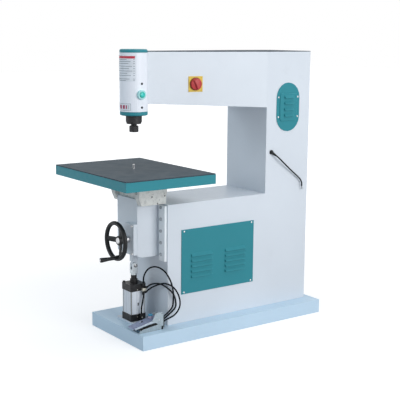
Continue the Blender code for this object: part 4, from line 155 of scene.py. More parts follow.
# Blank placard and small framed plate, bent round the head, with their printed bars
PLACARD_THICKNESS = 0.0006
PRINT_THICKNESS = 0.00015
PLACARD_SPAN = (-118, -22.5)
PLACARD_LOW = 1.300
PLACARD_HIGH = 1.4245
HEADER_SPAN = (-114, -26)
HEADER_LOW = 1.4095
HEADER_HIGH = 1.4215
RULE_HEIGHT = 0.0022
RULE_START = -112
RULES = (
    (1.4045, -60), (1.3950, -44), (1.3856, -52), (1.3724, -38), (1.3616, -50), (1.3496, -36),
    (1.3386, -58), (1.3280, -42), (1.3113, -48), (1.3036, -64))
TICK_SPAN = (-33, -27)
SMALL_PLATE_SPAN = (-118, -43.5)
SMALL_PLATE_LOW = 1.1583
SMALL_PLATE_HIGH = 1.1923
SMALL_PLATE_RIM = 0.0012
SMALL_PLATE_BARS = ((-100, -86.5), (-80, -69.5), (-65, -59.5))
SMALL_PLATE_FAINT_BARS = ((-55, -51),)
SMALL_BAR_LOW = 1.166
SMALL_BAR_HIGH = 1.184

# Marks on the switch
SWITCH_FACE = 0.0028
SWITCH_CORNER = 0.032
SWITCH_SCREW_RADIUS = 0.0026
MARK_THICKNESS = 0.0003

# Start button in its wide pale collar, with a paler dome in its middle that is a painted highlight
CAP_RADIUS = 0.0145
CAP_PROUD = 0.0030
CAP_EDGE = 0.0014
CAP_EDGE_SHARE = 0.3
LENS_HIGHLIGHT_RADIUS = 0.0085
LENS_HIGHLIGHT_HEIGHT = 0.0009
LENS_HIGHLIGHT_SHARES = ((0.9, 0.5), (0.6, 0.85), (0, 1))
COLLAR_BORE = 0.0151
COLLAR_EDGE = 0.0016
COLLAR_DEPTH = 0.012

# Oil nipples on the gearbox, at its outer corners
NIPPLE_PLACES = ((0.0850, 0.5900), (0.0870, 0.4500))
NIPPLE_PROFILE = (
    (0, 0), (0.0042, 0), (0.0042, 0.0030), (0.0024, 0.0036), (0.0020, 0.0058), (0.0029, 0.0072),
    (0.0024, 0.0090), (0, 0.0096))

# Clevis clip, lock nut and rod wiper
CLIP_RADIUS = 0.0082
CLIP_BORE = 0.0046
CLIP_THICKNESS = 0.0009
CLIP_OPENING = math.radians(70)
CLIP_ROLL = 2.2
CLIP_SHARE = 0.3
PIN_STUB_RADIUS = 0.0045
PIN_STUB_LENGTH = 0.0036
STUB_SHARE = 0.8
LOCK_NUT_RADIUS = 0.0165
LOCK_NUT_HEIGHT = 0.0075
ROD_RADIUS = 0.0102
WIPER_RADIUS = 0.0138
WIPER_HEIGHT = 0.0014

# Handwheel: thick rim, dished spokes, boss and crank boss
WHEEL_RIM_RADIUS = 0.0895
WHEEL_RIM_HALF_THICKNESS = 0.0105
WHEEL_RIM_HALF_DEPTH = 0.0115
WHEEL_RIM_SIDES = 20
WHEEL_SIDES = 72
WHEEL_PLACE = Vector((0.050, -0.611, 0.5185))
WHEEL_DISH = 0.020
BOSS_RADIUS = 0.0235
BOSS_BORE = 0.0167
BOSS_FRONT = 0.010
BOSS_BACK = 0.032
BOSS_EDGE = 0.0025
HUB_FRONT = 0.0085
HUB_BACK = 0.034
HUB_SHAFT = 0.0083
HUB_EDGE = 0.0030
SPOKE_COUNT = 3
SPOKE_STEPS = 8
SPOKE_SIDES = 16
SPOKE_REACHES = (BOSS_BORE, WHEEL_RIM_RADIUS)
SPOKE_WIDTHS = (0.0290, 0.0260)
SPOKE_THICKNESSES = (0.0120, 0.0100)
CRANK_ANGLE = -1.30
CRANK_REACH = 0.083
CRANK_BOSS_RADIUS = 0.0125
CRANK_BOSS_HALF = 0.0110
CRANK_PIN_RADIUS = 0.0045
CRANK_PIN_END = 0.1033
CRANK_HEAD_RADIUS = 0.0062
CRANK_HEAD_HEIGHT = 0.0030
CRANK_HEAD_EDGE = 0.0009

# Rotary switch knob, whose ridge lies a little aslant, on a rim coloured dark brown as painted shade round its
# foot
KNOB_RADIUS = 0.0295
KNOB_LOW = 0.0031
KNOB_RIM_RADIUS = 0.0325
KNOB_RIM_TOP = 0.0080
KNOB_SHOULDER = 0.0170
KNOB_TOP = 0.0200
KNOB_EDGE = 0.0025
KNOB_CUT = KNOB_EDGE / 3
KNOB_SLANT = math.radians(24)
RIDGE_LENGTH = 0.0540
RIDGE_FOOT_WIDTH = 0.0270
RIDGE_TOP_WIDTH = 0.0140
RIDGE_TOP = 0.0300
DIAL_RADIUS = 0.0355
DIAL_TICKS = 24
DIAL_TICK_SIZE = (0.0022, 0.0010)

# Air fittings: a nickel block with black push-in collars, and the lower elbow
NICKEL_LOW = (0.0453, -0.4640, 0.2400)
NICKEL_HIGH = (0.0640, -0.4410, 0.2550)
PUSH_IN_RADIUS = 0.0068
PUSH_IN_LENGTH = 0.0165
PUSH_IN_SHOULDER = 0.0033
PUSH_IN_NECK_RADIUS = 0.00612
PUSH_IN_RING_RADIUS = 0.0052
PUSH_IN_RING_LENGTH = 0.0022
ELBOW_LOW = (0.0453, -0.4770, 0.0960)
ELBOW_HIGH = (0.0640, -0.4590, 0.1130)
FITTING_EDGE = 0.0018
PLUG_RADIUS = 0.0042
PLUG_HEIGHT = 0.0030
SPEED_SCREWS = ((0.0448, -0.4850, 0.2475), (0.0448, -0.4850, 0.1060))
SPEED_RADIUS = 0.0030

# Foot valve: side view of the base's plates and of the treadle, as (y, z)
PEDAL_SHEET = 0.0020
PEDAL_FLOOR = 0.0733
PEDAL_VIEW = (
    (-0.5716, PEDAL_FLOOR), (-0.4310, PEDAL_FLOOR), (-0.4310, 0.1510), (-0.4360, 0.1600), (-0.4450, 0.1640),
    (-0.4700, 0.1630), (-0.4775, 0.1600), (-0.4850, 0.1450), (-0.4938, 0.1310), (-0.4950, 0.1220),
    (-0.4800, 0.1140), (-0.4640, 0.1060), (-0.4655, 0.1022), (-0.5244, 0.0952), (-0.5449, 0.0925),
    (-0.5560, 0.0890), (-0.5716, 0.0850))
TREADLE_SHEET = 0.0025
TREADLE_VIEW = (
    (-0.5980, 0.0960), (-0.5700, 0.1000), (-0.5449, 0.1050), (-0.5244, 0.1085), (-0.4680, 0.1150),
    (-0.4600, 0.1180), (-0.4540, 0.1195), (-0.4500, 0.1245), (-0.4500, 0.1300), (-0.4540, 0.1345),
    (-0.5980, 0.1035))
TREADLE_TOP_VIEW = ((-0.5980, 0.1015), (-0.4520, 0.1335), (-0.4520, 0.1360), (-0.5980, 0.1040))
TREADLE_LIP_VIEW = ((-0.5980, 0.0960), (-0.5960, 0.0960), (-0.5960, 0.1040), (-0.5980, 0.1040))
TREADLE_EDGE = 0.0007
PEDAL_BOLT = (-0.4385, 0.0826)
PEDAL_BOLT_SIZE = (0.0095, 0.0165)
PEDAL_BOLT_EDGE = 0.0009
PEDAL_RIVET = (-0.4390, 0.1550)
PEDAL_STOP = ((0.1445, -0.5700, 0.0758), (0.1985, -0.5600, 0.0840))
# A black sheet inside the near side plate, showing in the gap under the treadle as painted shade: its span in x
# and its side view
PEDAL_GAP_SHADE_SPAN = (0.1950, 0.1985)
PEDAL_GAP_SHADE_VIEW = (
    (-0.5590, 0.0765), (-0.4650, 0.0765), (-0.4650, 0.1100), (-0.5244, 0.1030), (-0.5590, 0.0940))
PEDAL_KNOB_PLACE = (0.1600, -0.4800, 0.1290)
PEDAL_KNOB_PROFILE = (
    (0, 0), (0.0120, 0), (0.0120, 0.0060), (0.0105, 0.0072), (0.0100, 0.0120), (0, 0.0120))
PEDAL_CAP_PROFILE = (
    (0, 0.0116), (0.0112, 0.0116), (0.0118, 0.0126), (0.0118, 0.0170), (0.0098, 0.0200), (0.0050, 0.0214),
    (0, 0.0217))
PEDAL_FAR_TOP = 0.1450
FAR_ROOF_START = -0.4560
TREADLE_SCREW = (0.1640, -0.5330, 0.1184)
# White patch on the treadle that is a painted glint, with its size
TREADLE_GLINT = (0.1600, -0.5400, 0.1170)
TREADLE_GLINT_SIZE = (0.0060, 0.0110)
TREADLE_SLOPE = math.atan2(0.032, 0.146)

# Thin wires at the end of the lead
WIRE_DIAMETER = 0.0016
WIRE_ROUTES = (
    ((0, 0, 0), (0.0006, 0.0010, -0.005), (0.0020, 0.0050, -0.010), (0.0010, 0.0105, -0.012)),
    ((0, 0, 0), (-0.0008, 0.0004, -0.006), (-0.0020, 0.0010, -0.011), (-0.0010, 0.0060, -0.0165)),
    ((0, 0, 0), (0.0002, -0.0008, -0.005), (0.0010, -0.0040, -0.0095), (0.0004, -0.0085, -0.0105)))

# Barrel profile, which the tie rods run inside, and the sensor in its slot
BARREL_SIDE = 0.0820
BARREL_CORNER = 0.0030
QUARTERS = 4
CORNER_SEGMENTS = 4
BARREL_BORE = 0.0630
CORNER_STRIP = 0.0046
STRIP_GAP = 0.00025
GROOVE_WIDTH = 0.0026
GROOVE_DEPTH = 0.0016
GROOVE_PLACES = (-0.0335, -0.0085, 0.0085, 0.0335)
SENSOR_LOW = 0.163
SENSOR_HEIGHT = 0.0155
SENSOR_WIDTH = 0.0050
SENSOR_DEPTH = 0.0032
SENSOR_EDGE = 0.000625

# Cords: the routes that the CAD's hoses and lead follow
HOSE_DIAMETER = 0.008
LEAD_DIAMETER = 0.0075
ROUTE_PARTS = 24
ROUTE_STEP = 0.010
CORD_FACETS = 4
HOSE_ROUTES = {
    "hose_long_loop": (
        (0.0565, -0.4555, 0.2823), (0.0565, -0.4555, 0.2923), (0.0580, -0.4543, 0.3140),
        (0.0660, -0.4476, 0.3400), (0.0810, -0.4367, 0.3610), (0.1040, -0.4221, 0.3719),
        (0.1320, -0.4079, 0.3701), (0.1620, -0.3950, 0.3550), (0.1840, -0.3840, 0.3250),
        (0.1955, -0.3750, 0.2908), (0.1990, -0.3690, 0.2500), (0.1990, -0.3685, 0.2092),
        (0.1960, -0.3750, 0.1730), (0.1775, -0.4011, 0.1350), (0.1745, -0.4085, 0.1290)),
    "hose_middle_loop": (
        (0.0600, -0.4340, 0.2600), (0.0640, -0.4268, 0.2657), (0.0760, -0.4140, 0.2750),
        (0.1010, -0.4010, 0.2810), (0.1350, -0.3970, 0.2830), (0.1650, -0.3920, 0.2765),
        (0.1820, -0.3765, 0.2600), (0.1870, -0.3580, 0.2348), (0.1890, -0.3480, 0.2020),
        (0.1890, -0.3520, 0.1650), (0.1775, -0.4011, 0.1215), (0.1745, -0.4085, 0.1155)),
    "hose_inner_loop": (
        (0.0600, -0.4340, 0.2400), (0.0650, -0.4280, 0.2462), (0.0900, -0.4190, 0.2640),
        (0.1280, -0.4120, 0.2825), (0.1620, -0.4020, 0.2950), (0.1815, -0.3800, 0.2890),
        (0.1890, -0.3560, 0.2690), (0.1960, -0.3380, 0.2380), (0.2020, -0.3300, 0.2034),
        (0.2040, -0.3350, 0.1682), (0.1960, -0.3580, 0.1330), (0.1775, -0.4011, 0.1080),
        (0.1745, -0.4085, 0.1020)),
    "hose_cylinder_link": (
        (0.0565, -0.4555, 0.2197), (0.0565, -0.4555, 0.2097), (0.0600, -0.4620, 0.1900),
        (0.0620, -0.4680, 0.1700), (0.0600, -0.4700, 0.1520), (0.0565, -0.4680, 0.1343),
        (0.0565, -0.4680, 0.1243)),
}
LEAD_ROUTE = (
    (0.1860, 0.2953, 0.8975), (0.1906, 0.3019, 0.8915), (0.1940, 0.3180, 0.8780), (0.1910, 0.3520, 0.8510),
    (0.1860, 0.4080, 0.8080), (0.1840, 0.4540, 0.7735), (0.1835, 0.4780, 0.7520), (0.1830, 0.4900, 0.7300),
    (0.1830, 0.4890, 0.7130))


# Nodes of the materials

def add_node(tree, kind, feeds, **settings):
    """A shader node whose inputs are set to values, or linked to the outputs of other nodes."""
    node = tree.nodes.new("ShaderNode" + kind)
    for key, value in settings.items():
        setattr(node, key, value)
    for entry, feed in feeds.items():
        if isinstance(feed, bpy.types.NodeSocket):
            tree.links.new(feed, node.inputs[entry])
        else:
            node.inputs[entry].default_value = feed
    return node


def shade(colour, amount):
    return tuple(max(0, min(1, channel * amount)) for channel in colour)


class Look:
    """A material under construction, with its patterns in the frame's metres."""

    def __init__(self, name, colour, roughness, metallic=0, shine=0.5, edge=0):
        self.material = bpy.data.materials.new(name)
        self.material.use_nodes = True
        self.tree = self.material.node_tree
        self.shader = self.tree.nodes["Principled BSDF"]
        self.colour = colour
        self.base = (*colour, 1)
        self.roughness = roughness
        self.shader.inputs["Base Color"].default_value = self.base
        self.shader.inputs["Roughness"].default_value = roughness
        self.shader.inputs["Metallic"].default_value = metallic
        self.shader.inputs["Specular IOR Level"].default_value = shine
        self.place = self.add("TexCoord", {}).outputs["Object"]
        self.normal = None
        if edge:
            self.bend(self.add("Bevel", {"Radius": edge}, samples=BEVEL_SAMPLES).outputs["Normal"])

    def add(self, kind, feeds, **settings):
        return add_node(self.tree, kind, feeds, **settings)

    def noise(self, scale, detail=3, stretch=(1, 1, 1), grit=0.5):
        place = self.add("Mapping", {"Scale": stretch, "Vector": self.place}).outputs["Vector"]
        feeds = {"Scale": scale, "Detail": detail, "Roughness": grit, "Vector": place}
        return self.add("TexNoise", feeds).outputs["Fac"]

    def cells(self, scale):
        colour = self.add("TexVoronoi", {"Scale": scale, "Vector": self.place}).outputs["Color"]
        return self.add("SeparateColor", {"Color": colour}).outputs["Red"]

    def ranged(self, pattern, low, high, to_low, to_high):
        feeds = {"Value": pattern, "From Min": low, "From Max": high, "To Min": to_low, "To Max": to_high}
        return self.add("MapRange", feeds).outputs["Result"]

    def tint(self, factor, colour):
        """Shift the base colour towards another one where the factor is high."""
        feeds = {"Factor": factor, "A": self.base, "B": (*colour, 1)}
        self.base = self.add("Mix", feeds, data_type="RGBA").outputs["Result"]
        self.tree.links.new(self.base, self.shader.inputs["Base Color"])

    def patches(self, pattern, low, high, most, amount):
        """Shade the base colour by an amount where the pattern is high."""
        self.tint(self.ranged(pattern, low, high, 0, most), shade(self.colour, amount))

    def wear(self, colour):
        """Tint the sharp edges, where the softened normal leans from the true one."""
        true_normal = self.add("NewGeometry", {}).outputs["True Normal"]
        lean = self.add("VectorMath", {0: true_normal, 1: self.normal}, operation="DOT_PRODUCT")
        self.tint(self.ranged(lean.outputs["Value"], WEAR_START, WEAR_FULL, 0, 1), colour)

    def gloss(self, pattern, down, up):
        """Let the roughness follow the pattern, from down below its level to up above it."""
        varied = self.ranged(pattern, GLOSS_LOW, GLOSS_HIGH, self.roughness - down, self.roughness + up)
        self.tree.links.new(varied, self.shader.inputs["Roughness"])

    def grain(self, pattern, strength, depth):
        feeds = {"Strength": strength, "Distance": depth, "Height": pattern}
        if self.normal:
            feeds["Normal"] = self.normal
        self.bend(self.add("Bump", feeds).outputs["Normal"])

    def bend(self, normal):
        self.normal = normal
        self.tree.links.new(normal, self.shader.inputs["Normal"])


# Materials

def paint(name, colour, roughness, edge=1.25, peel=0.10, shine=0.5):
    """Sprayed paint: slow colour drift, a little grime, paler edges and orange peel."""
    look = Look(name, colour, roughness, shine=shine, edge=0.0015)
    look.patches(look.noise(scale=2.2, detail=4), low=0.35, high=0.70, most=1, amount=0.95)
    look.patches(look.noise(scale=9, detail=6, grit=0.7), low=0.60, high=0.78, most=0.35, amount=0.86)
    look.wear(shade(colour, edge))
    look.gloss(look.noise(scale=40), down=0.06, up=0.08)
    look.grain(look.noise(scale=320, detail=2), strength=peel, depth=0.0005)
    return look.material


def cast_paint(name, colour, roughness, edge=1.15):
    """Brush paint over a sand casting."""
    look = Look(name, colour, roughness, edge=0.0025)
    look.patches(look.noise(scale=30, detail=6, grit=0.7), low=0.48, high=0.68, most=0.8, amount=0.70)
    look.patches(look.noise(scale=90, detail=4), low=0.62, high=0.72, most=0.6, amount=0.42)
    look.wear(shade(colour, edge))
    look.gloss(look.noise(scale=70), down=0.10, up=0.10)
    look.grain(look.noise(scale=130, detail=5, grit=0.65), strength=0.45, depth=0.0012)
    return look.material


def steel(name, colour, roughness, stretch=(1, 1, 0.02), metallic=1, scale=500):
    """Turned or ground metal with its tool marks along one direction."""
    look = Look(name, colour, roughness, metallic, edge=0.0006)
    marks = look.noise(scale, stretch=stretch)
    look.patches(marks, low=0.35, high=0.7, most=0.7, amount=0.72)
    look.gloss(marks, down=0.07, up=0.12)
    look.grain(marks, strength=0.12, depth=0.0002)
    return look.material


def zinc(name, colour, roughness):
    """Zinc plate with its spangle of crystals."""
    look = Look(name, colour, roughness, metallic=0.75, edge=0.0008)
    crystals = look.cells(scale=140)
    look.patches(crystals, low=0, high=1, most=0.6, amount=0.74)
    look.patches(look.noise(scale=24, detail=5), low=0.5, high=0.75, most=0.5, amount=0.80)
    look.gloss(crystals, down=0.05, up=0.15)
    look.grain(look.noise(scale=210), strength=0.10, depth=0.0003)
    return look.material


def moulded(name, colour, roughness, shine=0.35):
    """Moulded plastic with a fine grain and slightly uneven gloss."""
    look = Look(name, colour, roughness, shine=shine, edge=0.0006)
    look.patches(look.noise(scale=28, detail=4), low=0.4, high=0.7, most=0.8, amount=0.86)
    look.gloss(look.noise(scale=60), down=0.06, up=0.10)
    look.grain(look.noise(scale=700, detail=2), strength=0.08, depth=0.0002)
    return look.material


def blackened(name, colour, roughness, rubbed=(0.16, 0.16, 0.17)):
    """Oil-blackened steel with rubbed edges."""
    look = Look(name, colour, roughness, metallic=0.55, edge=0.0008)
    look.patches(look.noise(scale=45, detail=5, grit=0.6), low=0.45, high=0.72, most=1, amount=2.0)
    look.wear(rubbed)
    look.gloss(look.noise(scale=80), down=0.08, up=0.12)
    look.grain(look.noise(scale=400), strength=0.12, depth=0.0003)
    return look.material


def laminate(name, colour, roughness):
    """Dark laminate sheet: fine fleck, slow drift, and faint scratches from sliding work."""
    look = Look(name, colour, roughness, shine=0.16, edge=0.0008)
    look.patches(look.noise(scale=900, detail=2), low=0.50, high=0.72, most=0.6, amount=1.5)
    look.patches(look.noise(scale=3, detail=4), low=0.40, high=0.70, most=0.3, amount=1.08)
    scratches = look.noise(scale=60, detail=6, stretch=(1, 0.03, 1), grit=0.8)
    look.patches(scratches, low=0.66, high=0.72, most=0.25, amount=1.8)
    look.gloss(look.noise(scale=16, detail=5), down=0.03, up=0.05)
    look.grain(look.noise(scale=700, detail=2), strength=0.10, depth=0.0002)
    return look.material


def cast_iron(name, colour, roughness):
    """Turned grey iron with open grain."""
    look = Look(name, colour, roughness, metallic=0.6)
    look.patches(look.noise(scale=300, detail=5), low=0.45, high=0.7, most=1, amount=0.55)
    look.gloss(look.noise(scale=120), down=0.10, up=0.15)
    look.grain(look.noise(scale=260, detail=5), strength=0.35, depth=0.0005)
    return look.material


def rubber(name, colour, roughness):
    """Extruded rubber or nylon with a soft sheen and dust."""
    look = Look(name, colour, roughness, shine=0.10)
    look.patches(look.noise(scale=50, detail=5), low=0.5, high=0.75, most=0.6, amount=1.8)
    look.gloss(look.noise(scale=90), down=0.08, up=0.12)
    look.grain(look.noise(scale=500, detail=2), strength=0.08, depth=0.0002)
    return look.material


LOOKS = {material.name: material for material in (
    paint("body_paint", (0.70, 0.745, 0.80), 0.42),
    paint("base_paint", (0.58, 0.75, 0.89), 0.44),
    paint("teal_paint", (0.032, 0.246, 0.292), 0.42, edge=1.8, peel=0.16, shine=0.22),
    # Paler copy of the body paint for the keepers: painted light on their front faces
    paint("keeper_lit_paint", (0.90, 0.93, 0.96), 0.40),
    paint("head_paint", (0.86, 0.89, 0.95), 0.38),
    paint("motor_paint", (0.05, 0.13, 0.19), 0.50),
    cast_paint("support_paint", (0.82, 0.81, 0.77), 0.55),
    laminate("dark_laminate", (0.040, 0.060, 0.076), 0.56),
    blackened("black_steel", (0.014, 0.014, 0.015), 0.42),
    cast_iron("cast_iron", (0.16, 0.16, 0.17), 0.62),
    steel("bright_steel", (0.66, 0.66, 0.67), 0.24),
    steel("dull_steel", (0.46, 0.49, 0.52), 0.42, metallic=0.4),
    steel("brass", (0.66, 0.47, 0.20), 0.30),
    steel("anodised", (0.74, 0.74, 0.75), 0.34, (1, 1, 0.01), 0.9, 260),
    steel("corner_grey", (0.17, 0.17, 0.15), 0.46, (1, 1, 0.01), 0.2, 160),
    steel("barrel", (0.78, 0.82, 0.88), 0.40, (1, 1, 0.01), 0.12, 160),
    zinc("galvanised", (0.56, 0.61, 0.64), 0.42),
    zinc("nickel", (0.50, 0.49, 0.43), 0.34),
    zinc("treadle_metal", (0.33, 0.38, 0.54), 0.46),
    zinc("pedal_metal", (0.36, 0.43, 0.47), 0.44),
    zinc("flange_metal", (0.46, 0.53, 0.60), 0.50),
    rubber("belt_rubber", (0.035, 0.028, 0.024), 0.75),
    rubber("hose_black", (0.003, 0.005, 0.008), 0.55),
    moulded("black_plastic", (0.009, 0.010, 0.011), 0.40, shine=0.25),
    moulded("yellow_plastic", (0.74, 0.52, 0.06), 0.36),
    moulded("red_plastic", (0.50, 0.040, 0.042), 0.32),
    moulded("white_plastic", (0.78, 0.82, 0.84), 0.34),
    moulded("green_plastic", (0.010, 0.50, 0.40), 0.28),
    moulded("device_grey", (0.28, 0.29, 0.31), 0.5),
    moulded("placard", (0.80, 0.84, 0.89), 0.34),
    moulded("print_red", (0.56, 0.045, 0.075), 0.34),
    moulded("print_grey", (0.22, 0.26, 0.30), 0.40),
    moulded("print_magenta", (0.38, 0.025, 0.10), 0.42),
    moulded("print_pale", (0.50, 0.56, 0.60), 0.40),
    # Darker copy of the knob's red for the rim at its foot: painted shade
    moulded("knob_foot_shade", (0.20, 0.035, 0.018), 0.36),
    moulded("print_ring", (0.44, 0.78, 0.79), 0.34),
    moulded("print_blue", (0.06, 0.28, 0.44), 0.30),
    moulded("print_pink", (0.52, 0.45, 0.54), 0.34),
    moulded("print_black", (0.004, 0.005, 0.008), 0.80, shine=0.05),
    # Paler green for the button's middle: a painted highlight
    moulded("lens", (0.05, 0.66, 0.62), 0.12),
)}

# CAD nodes whose look differs from their slot's
NODE_LOOKS = {
    "spindle_shaft": "black_steel", "collet": "black_steel", "guide_pin": "bright_steel",
    # The keepers take the paler copy of the body paint, which is painted light
    "treadle": "treadle_metal", "pedal_base": "pedal_metal", "right_keeper": "keeper_lit_paint",
    "left_keeper": "keeper_lit_paint", "head_housing": "head_paint",
}


def dress_nodes():
    for entry in frame["record"]["subparts"]:
        mesh = NODES[entry["node"]].data
        mesh.materials.clear()
        mesh.materials.append(LOOKS[NODE_LOOKS.get(entry["node"], entry["material_slot"])])


# Camera, lamps and floor

def linked(name, data=None):
    """A new object in the scene."""
    holder = bpy.data.objects.new(name, data)
    bpy.context.scene.collection.objects.link(holder)
    return holder


def make_camera():
    camera = bpy.data.cameras.new("photo_camera")
    camera.lens = CAMERA_LENS
    camera.sensor_width = CAMERA_SENSOR
    holder = linked("photo_camera", camera)
    ahead = Vector((
        -math.sin(CAMERA_YAW) * math.cos(CAMERA_PITCH), math.cos(CAMERA_YAW) * math.cos(CAMERA_PITCH),
        -math.sin(CAMERA_PITCH)))
    level = Vector((math.cos(CAMERA_YAW), math.sin(CAMERA_YAW), 0))
    above = level.cross(ahead)
    right = level * math.cos(CAMERA_ROLL) + above * math.sin(CAMERA_ROLL)
    up = above * math.cos(CAMERA_ROLL) - level * math.sin(CAMERA_ROLL)
    turn = Matrix((right, up, -ahead)).transposed()
    holder.matrix_world = Matrix.Translation(CAMERA_PLACE) @ turn.to_4x4()
    bpy.context.scene.camera = holder


def make_lamps():
    for name, place, size, power, colour in LAMPS:
        lamp = bpy.data.lights.new(name, "AREA")
        lamp.shape = "RECTANGLE"
        lamp.size, lamp.size_y = size
        lamp.energy = power
        lamp.color = colour
        holder = linked(name, lamp)
        holder.location = place
        holder.rotation_euler = (Vector(LAMP_TARGET) - Vector(place)).to_track_quat("-Z", "Y").to_euler()


def shown_rays(tree):
    """1 for what the camera sees, straight, mirrored or through glass, and 0 for the light on things."""
    rays = add_node(tree, "LightPath", {})
    shown = rays.outputs["Is Camera Ray"]
    for kind in ("Is Glossy Ray", "Is Transmission Ray"):
        shown = add_node(tree, "Math", {0: shown, 1: rays.outputs[kind]}, operation="MAXIMUM").outputs[0]
    return shown


def make_world():
    """A soft sky on the object, behind which the camera sees white."""
    world = bpy.data.worlds.new("studio")
    bpy.context.scene.world = world
    world.use_nodes = True
    tree = world.node_tree
    tree.nodes.clear()
    soft = add_node(tree, "Background", {"Color": SKY_COLOUR, "Strength": SKY_STRENGTH})
    white = add_node(tree, "Background", {"Color": WHITE, "Strength": 1})
    mix = add_node(tree, "MixShader", {0: shown_rays(tree), 1: soft.outputs[0], 2: white.outputs[0]})
    add_node(tree, "OutputWorld", {"Surface": mix.outputs[0]})


def make_floor():
    """A pale floor that keeps the object's shadow and joins the white behind it."""
    shape = bmesh.new()
    bmesh.ops.create_grid(shape, x_segments=1, y_segments=1, size=FLOOR_SIZE)
    mesh = bpy.data.meshes.new("floor")
    shape.to_mesh(mesh)
    shape.free()
    floor = linked("floor", mesh)
    floor.location.z = -FLOOR_DROP
    material = bpy.data.materials.new("floor")
    material.use_nodes = True
    tree = material.node_tree
    shader = tree.nodes["Principled BSDF"]
    shader.inputs["Base Color"].default_value = FLOOR_COLOUR
    shader.inputs["Roughness"].default_value = FLOOR_ROUGHNESS
    place = add_node(tree, "TexCoord", {}).outputs["Object"]
    distance = add_node(tree, "VectorMath", {0: place}, operation="LENGTH").outputs["Value"]
    fade = add_node(tree, "MapRange", {
        "Value": distance, "From Min": FLOOR_NEAR, "From Max": FLOOR_FAR, "To Min": FLOOR_GLOW_NEAR,
        "To Max": FLOOR_GLOW_FAR}, interpolation_type="SMOOTHSTEP").outputs["Result"]
    glow = add_node(tree, "Emission", {"Strength": fade})
    dark = add_node(tree, "BsdfDiffuse", {"Color": BLACK})
    seen = add_node(tree, "MixShader", {0: shown_rays(tree), 1: dark.outputs[0], 2: glow.outputs[0]})
    both = add_node(tree, "AddShader", {0: shader.outputs[0], 1: seen.outputs[0]})
    tree.links.new(both.outputs[0], tree.nodes["Material Output"].inputs["Surface"])
    mesh.materials.append(material)


# Shapes for the small pieces

def spun(profile, sides=ROUND_SIDES):
    """A solid turned about Z from (radius, height) points, a ring where they close."""
    shape = bmesh.new()
    points = [shape.verts.new((radius, 0, height)) for radius, height in profile]
    edges = [shape.edges.new(pair) for pair in zip(points, points[1:])]
    bmesh.ops.spin(
        shape, geom=points + edges, cent=(0, 0, 0), axis=UP, angle=TURN, steps=sides, use_merge=True)
    bmesh.ops.remove_doubles(shape, verts=shape.verts, dist=WELD_DISTANCE)
    bmesh.ops.recalc_face_normals(shape, faces=shape.faces)
    return shape


def ring(inner, outer, low, high, edge):
    return spun((
        (inner, low), (outer, low), (outer, high - edge), (outer - edge, high), (inner, high), (inner, low)))


def prism(outline, low, high):
    """A flat outline drawn up along Z."""
    shape = bmesh.new()
    face = shape.faces.new([shape.verts.new((across, along, low)) for across, along in outline])
    grown = bmesh.ops.extrude_face_region(shape, geom=[face])
    raised = [item for item in grown["geom"] if isinstance(item, bmesh.types.BMVert)]
    bmesh.ops.translate(shape, vec=UP * (high - low), verts=raised)
    bmesh.ops.recalc_face_normals(shape, faces=shape.faces)
    return shape


def arc(radius, start, end, step=PATCH_STEP):
    steps = max(2, math.ceil(abs(end - start) / step))
    angles = [start + (end - start) * index / steps for index in range(steps + 1)]
    return [(radius * math.cos(angle), radius * math.sin(angle)) for angle in angles]


def regular(radius, sides):
    return arc(radius, 0, TURN, TURN / sides)[:-1]


def rectangle(width, length):
    across, along = width / 2, length / 2
    return (-across, -along), (across, -along), (across, along), (-across, along)


def block(low, high, edge):
    """A box with rounded edges between two corners."""
    low, high = Vector(low), Vector(high)
    shape = bmesh.new()
    bmesh.ops.create_cube(shape, size=1, matrix=Matrix.Diagonal((*(high - low), 1)))
    moved(shape, Matrix.Translation((low + high) / 2))
    return softened(shape, edge, FINE_SEGMENTS)


def lofted(rings):
    """A closed solid through rings of points, each with as many points."""
    shape = bmesh.new()
    made = [[shape.verts.new(point) for point in ring_points] for ring_points in rings]
    for lower, upper in zip(made, made[1:]):
        for index in range(len(lower)):
            after = (index + 1) % len(lower)
            shape.faces.new((lower[index], lower[after], upper[after], upper[index]))
    shape.faces.new(reversed(made[0]))
    shape.faces.new(made[-1])
    bmesh.ops.recalc_face_normals(shape, faces=shape.faces)
    return shape


def bent_sheet(radius, span, low, high, thickness):
    """A sheet bent round Z over a span of degrees."""
    start, end = (math.radians(angle) for angle in span)
    return prism(arc(radius, start, end) + arc(radius + thickness, end, start), low, high)


def side_plate(view, side, thickness):
    """A plate drawn in (y, z), whose thickness starts at one x."""
    return moved(prism(view, 0, thickness), Matrix.Translation((side, 0, 0)) @ SIDE_VIEW)


def softened(shape, width, segments=2):
    """Round off the shape's sharp edges."""
    edges = [edge for edge in shape.edges if edge.calc_face_angle(0) > SHARP_ANGLE]
    bmesh.ops.bevel(shape, geom=edges, offset=width, segments=segments, profile=0.5, affect="EDGES")
    return shape


def moved(shape, matrix):
    shape.transform(matrix)
    return shape


def turned(angle, axis="Z"):
    return Matrix.Rotation(angle, 4, axis)


def carved(solid, tool, operation="DIFFERENCE"):
    """The first shape less the second, or what they share."""
    holders = []
    for shape in (solid, tool):
        mesh = bpy.data.meshes.new("carving")
        shape.to_mesh(mesh)
        shape.free()
        holders.append(linked("carving", mesh))
    step = holders[0].modifiers.new("carve", "BOOLEAN")
    step.operation = operation
    step.solver = "EXACT"
    step.object = holders[1]
    bpy.context.view_layer.update()
    result = bmesh.new()
    result.from_object(holders[0], bpy.context.evaluated_depsgraph_get())
    for holder in holders:
        mesh = holder.data
        bpy.data.objects.remove(holder)
        bpy.data.meshes.remove(mesh)
    return result


